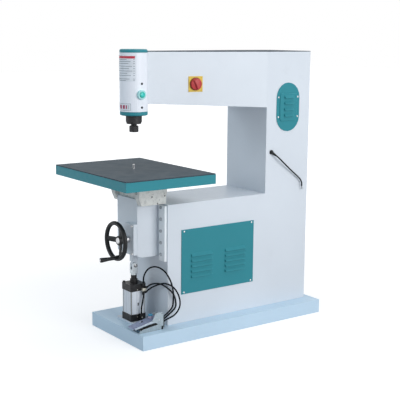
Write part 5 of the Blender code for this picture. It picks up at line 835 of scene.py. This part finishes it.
def finished(name, look, *shapes):
    """One mesh from these shapes, smooth but for its sharp edges."""
    whole = bmesh.new()
    for shape in shapes:
        mesh = bpy.data.meshes.new(name)
        shape.to_mesh(mesh)
        shape.free()
        whole.from_mesh(mesh)
        bpy.data.meshes.remove(mesh)
    mesh = bpy.data.meshes.new(name)
    whole.to_mesh(mesh)
    whole.free()
    mesh.materials.append(LOOKS[look])
    mesh.shade_smooth()
    mesh.set_sharp_from_angle(angle=SHARP_ANGLE)
    return mesh


def aimed(place, direction, roll=0):
    """Stand a shape's Z along a direction, at a place."""
    turn = Vector(direction).to_track_quat("Z", "Y").to_matrix().to_4x4()
    return Matrix.Translation(place) @ turn @ turned(roll)


def add_piece(name, mesh, body, placing=None):
    """A piece of the finished mesh or curve, parented to an empty for its body."""
    piece = linked(name, mesh)
    piece.matrix_world = placing or Matrix()
    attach(piece, body)
    return piece


def fit(name, look, body, placing, *shapes, replaced=None):
    """Add a piece made of these shapes, in the place of a CAD node where one is named."""
    piece = add_piece(name, finished(name, look, *shapes), body, placing)
    if replaced:
        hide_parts(replaced)


# Screws and bolts

def pan_head():
    dome = [(PAN_RADIUS * math.cos(angle), PAN_EDGE + (PAN_HEIGHT - PAN_EDGE) * math.sin(angle))
            for angle in (TURN / 4 * step / DOME_STEPS for step in range(DOME_STEPS))]
    head = spun([(0, 0), (PAN_RADIUS, 0)] + dome + [(0, PAN_HEIGHT)])
    a, b = RECESS_LENGTH, RECESS_WIDTH
    cross = ((a, -b), (a, b), (b, b), (b, a), (-b, a), (-b, b), (-a, b), (-a, -b), (-b, -b), (-b, -a),
             (b, -a), (b, -b))
    return carved(head, prism(cross, PAN_HEIGHT - RECESS_DEPTH, PAN_HEIGHT + OVERRUN))


def hex_head(radius, height):
    blank = prism(regular(radius, HEX_SIDES), 0, height)
    envelope = spun((
        (0, 0), (radius + OVERRUN, 0), (radius + OVERRUN, height - BOLT_CHAMFER * 2),
        (radius - BOLT_CHAMFER, height), (0, height)))
    return carved(blank, envelope, "INTERSECT")


def socket_head(radius, height):
    dome = [(radius * across, height * up) for across, up in SOCKET_DOME_SHARES]
    head = spun([(0, 0), (radius, 0)] + dome + [(0, height)], SMALL_SIDES)
    return carved(head, prism(regular(SOCKET_HEX, HEX_SIDES), height - SOCKET_DEPTH, height + OVERRUN))


def make_cover_screws():
    mesh = finished("cover_screw", "bright_steel", pan_head())
    low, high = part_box("lower_side_cover")
    places = [(y, z) for y in (low.y + COVER_SCREW_SIDE, high.y - COVER_SCREW_SIDE)
              for z in (low.z + COVER_SCREW_END, high.z - COVER_SCREW_END)]
    oval_low, oval_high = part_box("oval_motor_cover")
    middle = (oval_low.y + oval_high.y) / 2
    places += [(middle + side * OVAL_SCREW_SPREAD / 2, oval_low.z + rise) for side in (-1, 1)
               for rise in OVAL_SCREW_RISES]
    for index, (y, z) in enumerate(places):
        add_piece(f"cover_screw_{index}", mesh, "machine_frame",
                  aimed((low.x + COVER_SHEET, y, z), RIGHT, index * COVER_SCREW_ROLL))


def make_keeper_bolts():
    head = moved(hex_head(BOLT_RADIUS, BOLT_HEIGHT), Matrix.Translation((0, 0, WASHER_HEIGHT)))
    washer = ring(WASHER_BORE, WASHER_RADIUS, 0, WASHER_HEIGHT, WASHER_EDGE)
    mesh = finished("keeper_bolt", "dull_steel", head, washer)
    for name, side in (("right", 1), ("left", -1)):
        low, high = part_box(name + "_keeper")
        for row in range(BOLT_ROWS):
            place = (side * BOLT_SIDE, low.y, high.z - BOLT_DROP - row * BOLT_PITCH)
            add_piece(f"{name}_keeper_bolt_{row}", mesh, "machine_frame",
                      aimed(place, FORWARD, row * BOLT_ROLL))


def make_support_screws():
    mesh = finished("support_screw", "black_steel", socket_head(SET_SCREW_RADIUS, SOCKET_HEIGHT))
    for name, side in (("right", 1), ("left", -1)):
        for index, (y, z) in enumerate(SUPPORT_SCREWS):
            lean = SUPPORT_FLARE if z > SUPPORT_FLARE_START else 0
            out = SUPPORT_SIDE + lean * (z - SUPPORT_FLARE_START) - SOCKET_HEIGHT / 2
            add_piece(f"support_screw_{name}_{index}", mesh, "table",
                      aimed((side * out, y, z), (side, 0, -lean), index))


# Plates and marks

def make_head_plates():
    low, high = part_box("head_housing")
    radius = (high.x - low.x) / 2
    axis = Matrix.Translation(((low.x + high.x) / 2, (low.y + high.y) / 2, 0))
    top = radius + PLACARD_THICKNESS
    outside = top + PRINT_THICKNESS
    rim = math.degrees(SMALL_PLATE_RIM / radius)
    start, end = SMALL_PLATE_SPAN

    def plate(name, look, *shapes):
        fit(name, look, "machine_frame", axis, *shapes)

    plate("blank_placard", "placard",
          bent_sheet(radius, PLACARD_SPAN, PLACARD_LOW, PLACARD_HIGH, PLACARD_THICKNESS))
    plate("placard_header", "print_red",
          bent_sheet(top, HEADER_SPAN, HEADER_LOW, HEADER_HIGH, PRINT_THICKNESS))
    plate("placard_rules", "print_grey", *(
        bent_sheet(top, span, height - RULE_HEIGHT / 2, height + RULE_HEIGHT / 2, PRINT_THICKNESS)
        for height, rule_end in RULES for span in ((RULE_START, rule_end), TICK_SPAN)))
    plate("small_plate", "print_grey",
          bent_sheet(radius, SMALL_PLATE_SPAN, SMALL_PLATE_LOW, SMALL_PLATE_HIGH, PLACARD_THICKNESS))
    plate("small_plate_field", "placard", bent_sheet(
        top, (start + rim, end - rim), SMALL_PLATE_LOW + SMALL_PLATE_RIM, SMALL_PLATE_HIGH - SMALL_PLATE_RIM,
        PRINT_THICKNESS))
    for name, look, spans in (
            ("small_plate_bars", "print_magenta", SMALL_PLATE_BARS),
            ("small_plate_faint_bar", "print_pale", SMALL_PLATE_FAINT_BARS)):
        plate(name, look, *(
            bent_sheet(outside, span, SMALL_BAR_LOW, SMALL_BAR_HIGH, PRINT_THICKNESS) for span in spans))

    screw = finished("head_screw", "print_black", socket_head(SOCKET_RADIUS, SOCKET_HEIGHT))
    out = Vector((math.cos(HEAD_SCREW_ANGLE), math.sin(HEAD_SCREW_ANGLE), 0))
    for index, height in enumerate(HEAD_SCREW_HEIGHTS):
        add_piece(f"head_screw_{index}", screw, "machine_frame",
                  axis @ aimed(out * (radius - HEAD_SCREW_SINK) + UP * height, out, index))


def make_switch():
    """The knob with its slanting ridge on a rim darkened as painted shade, the dial's ticks and the plate's
    screws.
    """
    joint = next(joint for joint in frame["joints"] if joint["name"] == "switch_turn")
    out = Vector(joint["axis"]).normalized()
    face = Matrix((UP.cross(out), UP, out)).transposed().to_4x4()
    face.translation = joint["pos_m"]
    base = spun((
        (0, KNOB_LOW), (KNOB_RADIUS, KNOB_LOW), (KNOB_RADIUS, KNOB_SHOULDER - KNOB_EDGE),
        (KNOB_RADIUS - KNOB_CUT, KNOB_SHOULDER - KNOB_CUT), (KNOB_RADIUS - KNOB_EDGE, KNOB_SHOULDER),
        (0, KNOB_TOP)), WHEEL_SIDES)
    # The rim round the knob's foot is dark brown: painted shade
    fit("switch_rim_shade", "knob_foot_shade", "switch_rotor", face,
        ring(KNOB_RADIUS - KNOB_EDGE, KNOB_RIM_RADIUS, KNOB_LOW, KNOB_RIM_TOP, KNOB_EDGE))
    foot = rectangle(RIDGE_FOOT_WIDTH, RIDGE_LENGTH)
    top = rectangle(RIDGE_TOP_WIDTH, RIDGE_LENGTH - KNOB_EDGE * 2)
    ridge = lofted([[(*point, height) for point in outline]
                    for outline, height in ((foot, KNOB_SHOULDER - KNOB_EDGE), (top, RIDGE_TOP))])
    softened(ridge, KNOB_EDGE / 2, FINE_SEGMENTS)
    moved(ridge, turned(KNOB_SLANT))
    envelope = spun((
        (0, 0), (KNOB_RADIUS, 0), (KNOB_RADIUS, RIDGE_TOP - KNOB_EDGE * 2),
        (KNOB_RADIUS - KNOB_EDGE, RIDGE_TOP), (0, RIDGE_TOP)), WHEEL_SIDES)
    fit("switch_knob_look", "red_plastic", "switch_rotor", face, base, carved(ridge, envelope, "INTERSECT"),
        replaced="switch_knob")
    screw = finished("switch_screw", "yellow_plastic", socket_head(SWITCH_SCREW_RADIUS, SOCKET_HEIGHT))
    for index, (across, along) in enumerate(((1, 1), (-1, 1), (-1, -1), (1, -1))):
        place = (across * SWITCH_CORNER, along * SWITCH_CORNER, SWITCH_FACE - OVERRUN)
        add_piece(f"switch_screw_{index}", screw, "machine_frame", face @ Matrix.Translation(place))
    ticks = [moved(prism(rectangle(*DIAL_TICK_SIZE), SWITCH_FACE, SWITCH_FACE + MARK_THICKNESS),
                   turned(index * TURN / DIAL_TICKS) @ Matrix.Translation((DIAL_RADIUS, 0, 0)))
             for index in range(DIAL_TICKS)]
    fit("switch_dial", "black_plastic", "machine_frame", face, *ticks)


def make_button():
    """The button's cap with a paler middle that is a painted highlight, nearly level with its pale collar."""
    low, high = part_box("button_collar")
    middle = (low + high) / 2
    place = aimed((high.x, middle.y, middle.z), RIGHT)
    outer = (high.z - low.z) / 2
    collar = spun((
        (COLLAR_BORE, -COLLAR_DEPTH), (outer, -COLLAR_DEPTH), (outer, -COLLAR_EDGE),
        (outer - COLLAR_EDGE, 0), (COLLAR_BORE + COLLAR_EDGE / 2, 0), (COLLAR_BORE, -COLLAR_EDGE / 2),
        (COLLAR_BORE, -COLLAR_DEPTH)), WHEEL_SIDES)
    fit("collar_look", "print_ring", "machine_frame", place, collar, replaced="button_collar")
    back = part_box("start_button")[0].x - high.x
    cut = CAP_EDGE * CAP_EDGE_SHARE
    cap = spun((
        (0, back), (CAP_RADIUS, back), (CAP_RADIUS, CAP_PROUD - CAP_EDGE),
        (CAP_RADIUS - cut, CAP_PROUD - cut), (CAP_RADIUS - CAP_EDGE, CAP_PROUD),
        (0, CAP_PROUD)), WHEEL_SIDES)
    fit("button_look", "green_plastic", "button", place, cap, replaced="start_button")
    # A paler dome on the cap: a painted highlight
    dome = [(LENS_HIGHLIGHT_RADIUS * across, CAP_PROUD + LENS_HIGHLIGHT_HEIGHT * up) for across, up in LENS_HIGHLIGHT_SHARES]
    foot = CAP_PROUD - OVERRUN
    fit("button_lens_highlight", "lens", "button", place, spun([(0, foot), (LENS_HIGHLIGHT_RADIUS, foot)] + dome))


# Fasteners of the knee and the air cylinder

def make_oil_nipples():
    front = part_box("knee_casting")[0].y
    mesh = finished("oil_nipple", "bright_steel", spun(NIPPLE_PROFILE, SMALL_SIDES))
    for index, (x, z) in enumerate(NIPPLE_PLACES):
        add_piece(f"oil_nipple_{index}", mesh, "knee", aimed((x, front, z), FORWARD))


def make_clevis_pieces():
    low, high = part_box("clevis_pin")
    middle = (low + high) / 2
    end = (high.x, middle.y, middle.z)
    stub = spun(((0, 0), (PIN_STUB_RADIUS, 0), (PIN_STUB_RADIUS, PIN_STUB_LENGTH * STUB_SHARE),
                 (PIN_STUB_RADIUS * STUB_SHARE, PIN_STUB_LENGTH), (0, PIN_STUB_LENGTH)), SMALL_SIDES)
    half = CLIP_OPENING / 2
    outline = arc(CLIP_RADIUS, half, TURN - half) + arc(CLIP_BORE, TURN - half, half)
    clip_foot = PIN_STUB_LENGTH * CLIP_SHARE
    fit("pin_end", "bright_steel", "knee", aimed(end, RIGHT), stub)
    fit("pin_clip", "black_steel", "knee", aimed(end, RIGHT, CLIP_ROLL),
        prism(outline, clip_foot, clip_foot + CLIP_THICKNESS))
    nut_top = LOCK_NUT_HEIGHT + OVERRUN
    nut = carved(hex_head(LOCK_NUT_RADIUS, LOCK_NUT_HEIGHT),
                 spun(((0, -OVERRUN), (ROD_RADIUS, -OVERRUN), (ROD_RADIUS, nut_top), (0, nut_top))))
    fork_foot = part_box("rod_clevis")[0].z
    fit("rod_lock_nut", "galvanised", "knee",
        Matrix.Translation((middle.x, middle.y, fork_foot - LOCK_NUT_HEIGHT)), nut)
    gland_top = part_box("cylinder_top_cap")[1].z
    fit("rod_wiper", "hose_black", "machine_frame", Matrix.Translation((middle.x, middle.y, gland_top)),
        ring(ROD_RADIUS, WIPER_RADIUS, 0, WIPER_HEIGHT, WIPER_HEIGHT / 2))


def spoke():
    """A spoke of oval section, dished back from the rim to the boss."""
    rings = []
    for step in range(SPOKE_STEPS + 1):
        share = step / SPOKE_STEPS
        reach, width, thickness = (
            start + (end - start) * share for start, end in (SPOKE_REACHES, SPOKE_WIDTHS, SPOKE_THICKNESSES))
        sink = WHEEL_DISH * (1 - share) ** 2 * (1 + share * 2)
        rings.append([(reach, width / 2 * math.cos(angle), sink + thickness / 2 * math.sin(angle))
                      for angle in (TURN * side / SPOKE_SIDES for side in range(SPOKE_SIDES))])
    return lofted(rings)


def make_handwheel():
    """Rim, dished spokes and bosses of the handwheel, drawn along Y from the rim's middle plane."""
    angles = [TURN * index / WHEEL_RIM_SIDES for index in range(WHEEL_RIM_SIDES + 1)]
    rim = spun([(WHEEL_RIM_RADIUS + WHEEL_RIM_HALF_THICKNESS * math.cos(angle),
                 WHEEL_RIM_HALF_DEPTH * math.sin(angle)) for angle in angles], WHEEL_SIDES)
    boss = spun((
        (BOSS_BORE, BOSS_FRONT), (BOSS_RADIUS - BOSS_EDGE, BOSS_FRONT),
        (BOSS_RADIUS, BOSS_FRONT + BOSS_EDGE), (BOSS_RADIUS, BOSS_BACK - BOSS_EDGE),
        (BOSS_RADIUS - BOSS_EDGE, BOSS_BACK), (BOSS_BORE, BOSS_BACK), (BOSS_BORE, BOSS_FRONT)), WHEEL_SIDES)
    spokes = [moved(spoke(), turned(TURN / 2 + index * TURN / SPOKE_COUNT)) for index in range(SPOKE_COUNT)]
    crank = Matrix.Translation(
        (CRANK_REACH * math.cos(CRANK_ANGLE), -CRANK_REACH * math.sin(CRANK_ANGLE), 0))
    crank_boss = moved(spun((
        (0, -CRANK_BOSS_HALF), (CRANK_BOSS_RADIUS - BOSS_EDGE / 2, -CRANK_BOSS_HALF),
        (CRANK_BOSS_RADIUS, BOSS_EDGE / 2 - CRANK_BOSS_HALF), (CRANK_BOSS_RADIUS, CRANK_BOSS_HALF),
        (0, CRANK_BOSS_HALF))), crank)
    facing = Matrix.Translation(WHEEL_PLACE) @ Matrix((RIGHT, -UP, -FORWARD)).transposed().to_4x4()
    fit("handwheel_look", "black_plastic", "handwheel_group", facing, rim, boss, *spokes, crank_boss,
        replaced="handwheel")
    hub = spun((
        (HUB_SHAFT, HUB_FRONT), (BOSS_BORE - HUB_EDGE, HUB_FRONT), (BOSS_BORE, HUB_FRONT + HUB_EDGE),
        (BOSS_BORE, HUB_BACK), (HUB_SHAFT, HUB_BACK), (HUB_SHAFT, HUB_FRONT)))
    fit("hub_look", "bright_steel", "handwheel_group", facing, hub, replaced="handwheel_hub")
    shaft = bmesh.new()
    shaft.from_mesh(NODES["worm_shaft"].data)
    for vertex in shaft.verts:
        vertex.co.y = max(vertex.co.y, WHEEL_PLACE.y + HUB_FRONT)
    fit("worm_shaft_look", "bright_steel", "handwheel_group", None, shaft, replaced="worm_shaft")
    top = CRANK_PIN_END + CRANK_HEAD_HEIGHT
    pin = spun(((0, 0), (CRANK_PIN_RADIUS, 0), (CRANK_PIN_RADIUS, CRANK_PIN_END),
                (CRANK_HEAD_RADIUS, CRANK_PIN_END), (CRANK_HEAD_RADIUS, top - CRANK_HEAD_EDGE),
                (CRANK_HEAD_RADIUS * STUB_SHARE, top), (0, top)))
    fit("crank_pin", "bright_steel", "handwheel_group", facing @ crank @ turned(TURN / 2, "X"), pin)


def push_in(tip, following):
    """A push-in collar in line with the end of its hose, and the ring that frees the hose."""
    tip = Vector(tip)
    body = spun((
        (0, -PUSH_IN_LENGTH), (PUSH_IN_RADIUS, -PUSH_IN_LENGTH), (PUSH_IN_RADIUS, -PUSH_IN_SHOULDER),
        (PUSH_IN_NECK_RADIUS, -PUSH_IN_RING_LENGTH), (PUSH_IN_RING_RADIUS, -PUSH_IN_RING_LENGTH),
        (PUSH_IN_RING_RADIUS, 0), (0, 0)), SMALL_SIDES)
    return moved(body, aimed(tip, (Vector(following) - tip).normalized()))


def make_fittings():
    fit("upper_fitting_look", "nickel", "machine_frame", None,
        block(NICKEL_LOW, NICKEL_HIGH, FITTING_EDGE), replaced="cylinder_upper_fitting")
    fit("upper_collars", "black_plastic", "machine_frame", None,
        *(push_in(route[0], route[1]) for route in HOSE_ROUTES.values()))
    fit("lower_fitting_look", "black_plastic", "machine_frame", None,
        block(ELBOW_LOW, ELBOW_HIGH, FITTING_EDGE), replaced="cylinder_lower_fitting")
    middle = (Vector(ELBOW_LOW) + Vector(ELBOW_HIGH)) / 2
    plug = finished("fitting_plug", "nickel", hex_head(PLUG_RADIUS, PLUG_HEIGHT))
    add_piece("lower_plug", plug, "machine_frame",
              aimed((ELBOW_HIGH[0] - OVERRUN, middle.y, middle.z), RIGHT))
    speed = finished("speed_screw", "nickel", socket_head(SPEED_RADIUS, PLUG_HEIGHT))
    for index, place in enumerate(SPEED_SCREWS):
        add_piece(f"speed_screw_{index}", speed, "machine_frame", aimed(place, RIGHT))
    link = HOSE_ROUTES["hose_cylinder_link"]
    fit("lower_collar", "black_plastic", "machine_frame", None, push_in(link[-1], link[-2]))


def make_pedal():
    low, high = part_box("pedal_base")
    sheet = PEDAL_SHEET
    inner_low, inner_high = low.x + sheet, high.x - sheet
    far_view = [(y, min(z, PEDAL_FAR_TOP)) for y, z in PEDAL_VIEW if z < PEDAL_FAR_TOP or y > FAR_ROOF_START]
    bottom = block((inner_low, PEDAL_VIEW[0][0], PEDAL_FLOOR), (inner_high, high.y, PEDAL_FLOOR + sheet),
                   sheet / 4)
    fit("pedal_look", "pedal_metal", "machine_frame", None, side_plate(far_view, low.x, sheet),
        side_plate(PEDAL_VIEW, inner_high, sheet), bottom, replaced="pedal_base")
    # Black sheet that paints the shade in the gap between the side plate and the treadle
    start, end = PEDAL_GAP_SHADE_SPAN
    fit("pedal_gap_shade", "black_plastic", "machine_frame", None,
        side_plate(PEDAL_GAP_SHADE_VIEW, start, end - start))
    fit("pedal_stop", "motor_paint", "machine_frame", None, block(*PEDAL_STOP, sheet / 2))

    bolt = moved(prism(rectangle(*PEDAL_BOLT_SIZE), -MARK_THICKNESS, SOCKET_HEIGHT / 2),
                 Matrix.Translation((*PEDAL_BOLT, 0)))
    softened(bolt, PEDAL_BOLT_EDGE)
    rivet = moved(socket_head(SWITCH_SCREW_RADIUS, SOCKET_HEIGHT / 2), Matrix.Translation((*PEDAL_RIVET, 0)))
    fit("pedal_bolts", "print_black", "machine_frame", Matrix.Translation((high.x, 0, 0)) @ SIDE_VIEW,
        bolt, rivet)


def make_treadle():
    low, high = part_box("treadle")
    sheet = TREADLE_SHEET
    width = high.x - low.x
    top = softened(side_plate(TREADLE_TOP_VIEW, low.x + sheet, width - sheet * 2), TREADLE_EDGE)
    fit("treadle_look", "treadle_metal", "foot_treadle", None,
        top, side_plate(TREADLE_LIP_VIEW, low.x, width), replaced="treadle")
    fit("treadle_flanges", "flange_metal", "foot_treadle", None,
        *(side_plate(TREADLE_VIEW, side, sheet) for side in (low.x, high.x - sheet)))
    knob_place = Matrix.Translation(PEDAL_KNOB_PLACE)
    fit("treadle_stem", "print_pink", "foot_treadle", knob_place, spun(PEDAL_KNOB_PROFILE, SMALL_SIDES))
    fit("treadle_cap", "print_blue", "foot_treadle", knob_place, spun(PEDAL_CAP_PROFILE))
    lean = turned(TREADLE_SLOPE, "X")
    fit("treadle_screw", "black_steel", "foot_treadle", Matrix.Translation(TREADLE_SCREW) @ lean, pan_head())
    # A white patch on the treadle: a painted glint
    fit("treadle_glint", "white_plastic", "foot_treadle", Matrix.Translation(TREADLE_GLINT) @ lean,
        softened(prism(rectangle(*TREADLE_GLINT_SIZE), 0, sheet / 2), TREADLE_EDGE))


def make_barrel():
    """The barrel as an extruded profile with long grooves, and its sensor."""
    low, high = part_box("cylinder_barrel")
    centre = (low + high) / 2
    half = BARREL_SIDE / 2
    height = high.z - low.z
    foot = Matrix.Translation((centre.x, centre.y, low.z))
    quarters = [turned(quarter * TURN / QUARTERS) for quarter in range(QUARTERS)]
    shell = prism(rectangle(BARREL_SIDE, BARREL_SIDE), 0, height)
    upright = [edge for edge in shell.edges if abs(edge.verts[0].co.z - edge.verts[1].co.z) > half]
    bmesh.ops.bevel(shell, geom=upright, offset=BARREL_CORNER, segments=CORNER_SEGMENTS, profile=0.5,
                    affect="EDGES")
    tools = [moved(prism(rectangle(GROOVE_WIDTH, GROOVE_DEPTH * 2), -OVERRUN, height + OVERRUN),
                   quarter @ Matrix.Translation((place, half, 0)))
             for quarter in quarters for place in GROOVE_PLACES]
    tools.append(prism(regular(BARREL_BORE / 2, ROUND_SIDES), -OVERRUN, height + OVERRUN))
    for tool in tools:
        shell = carved(shell, tool)
    fit("barrel_look", "barrel", "machine_frame", foot, shell, replaced="cylinder_barrel")
    corner = turned(TURN / QUARTERS / 2) @ Matrix.Translation((math.hypot(half, half) - BARREL_CORNER, 0, 0))
    strips = [moved(prism(rectangle(CORNER_STRIP, CORNER_STRIP), STRIP_GAP, height - STRIP_GAP),
                    quarter @ corner) for quarter in quarters]
    fit("barrel_corners", "corner_grey", "machine_frame", foot, *strips)
    fit("barrel_sensor", "black_plastic", "machine_frame",
        Matrix.Translation((centre.x + half, centre.y, SENSOR_LOW)),
        softened(prism(rectangle(SENSOR_DEPTH, SENSOR_WIDTH), 0, SENSOR_HEIGHT), SENSOR_EDGE))


# Cords

def smooth_route(route, step):
    """Points every step along a smooth curve through the route, whose two end spans stay straight."""
    knots = [Vector(point) for point in route]
    fine = []
    for before, start, end, after in zip(knots, knots[1:], knots[2:], knots[3:]):
        for part_of_span in range(ROUTE_PARTS):
            t = part_of_span / ROUTE_PARTS
            fine.append((start * 2 + (end - before) * t + (before * 2 - start * 5 + end * 4 - after) * t ** 2
                         + (start * 3 - before - end * 3 + after) * t ** 3) / 2)
    fine.append(knots[-2])
    length = sum((b - a).length for a, b in zip(fine, fine[1:]))
    count = max(2, round(length / step))
    points = [knots[0], fine[0]]
    travelled = 0
    for a, b in zip(fine, fine[1:]):
        travelled += (b - a).length
        if travelled >= length / count * (len(points) - 1) and len(points) <= count:
            points.append(b)
    return points + [fine[-1], knots[-1]]


def tube(name, diameter, facets):
    """A curve with a hose's thickness and look, without its points."""
    curve = bpy.data.curves.new(name, "CURVE")
    curve.dimensions = "3D"
    curve.bevel_depth = diameter / 2
    curve.bevel_resolution = facets
    curve.use_fill_caps = True
    curve.materials.append(LOOKS["hose_black"])
    return curve


def make_wires(node, end):
    """Thin wires that curl out of a cord's cut end."""
    wires = []
    for index, route in enumerate(WIRE_ROUTES):
        curve = tube(f"{node}_wire_{index}", WIRE_DIAMETER, CORD_FACETS // 2)
        spline = curve.splines.new("BEZIER")
        spline.bezier_points.add(len(route) - 1)
        for point, place in zip(spline.bezier_points, route):
            point.co = end + Vector(place)
            point.handle_left_type = point.handle_right_type = "AUTO"
        wires.append(add_piece(curve.name, curve, "machine_frame"))
    return wires


def make_cord(node, route, diameter, with_wires=False):
    points = smooth_route(route, ROUTE_STEP)
    curve = tube(node + "_look", diameter, CORD_FACETS)
    spline = curve.splines.new("POLY")
    spline.points.add(len(points) - 1)
    for point, place in zip(spline.points, points):
        point.co = (*place, 1)
    spline.use_smooth = True
    cord = add_piece(curve.name, curve, "machine_frame")
    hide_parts(node)
    wires = make_wires(node, points[-1]) if with_wires else ()


def make_cords():
    for node, route in HOSE_ROUTES.items():
        make_cord(node, route, HOSE_DIAMETER)
    make_cord("mains_lead", LEAD_ROUTE, LEAD_DIAMETER, True)


bpy.context.scene.view_settings.view_transform = "Standard"
make_camera()
make_lamps()
make_world()
make_floor()
make_cords()
dress_nodes()
make_cover_screws()
make_keeper_bolts()
make_support_screws()
make_head_plates()
make_switch()
make_button()
make_oil_nipples()
make_clevis_pieces()
make_handwheel()
make_fittings()
make_pedal()
make_treadle()
make_barrel()
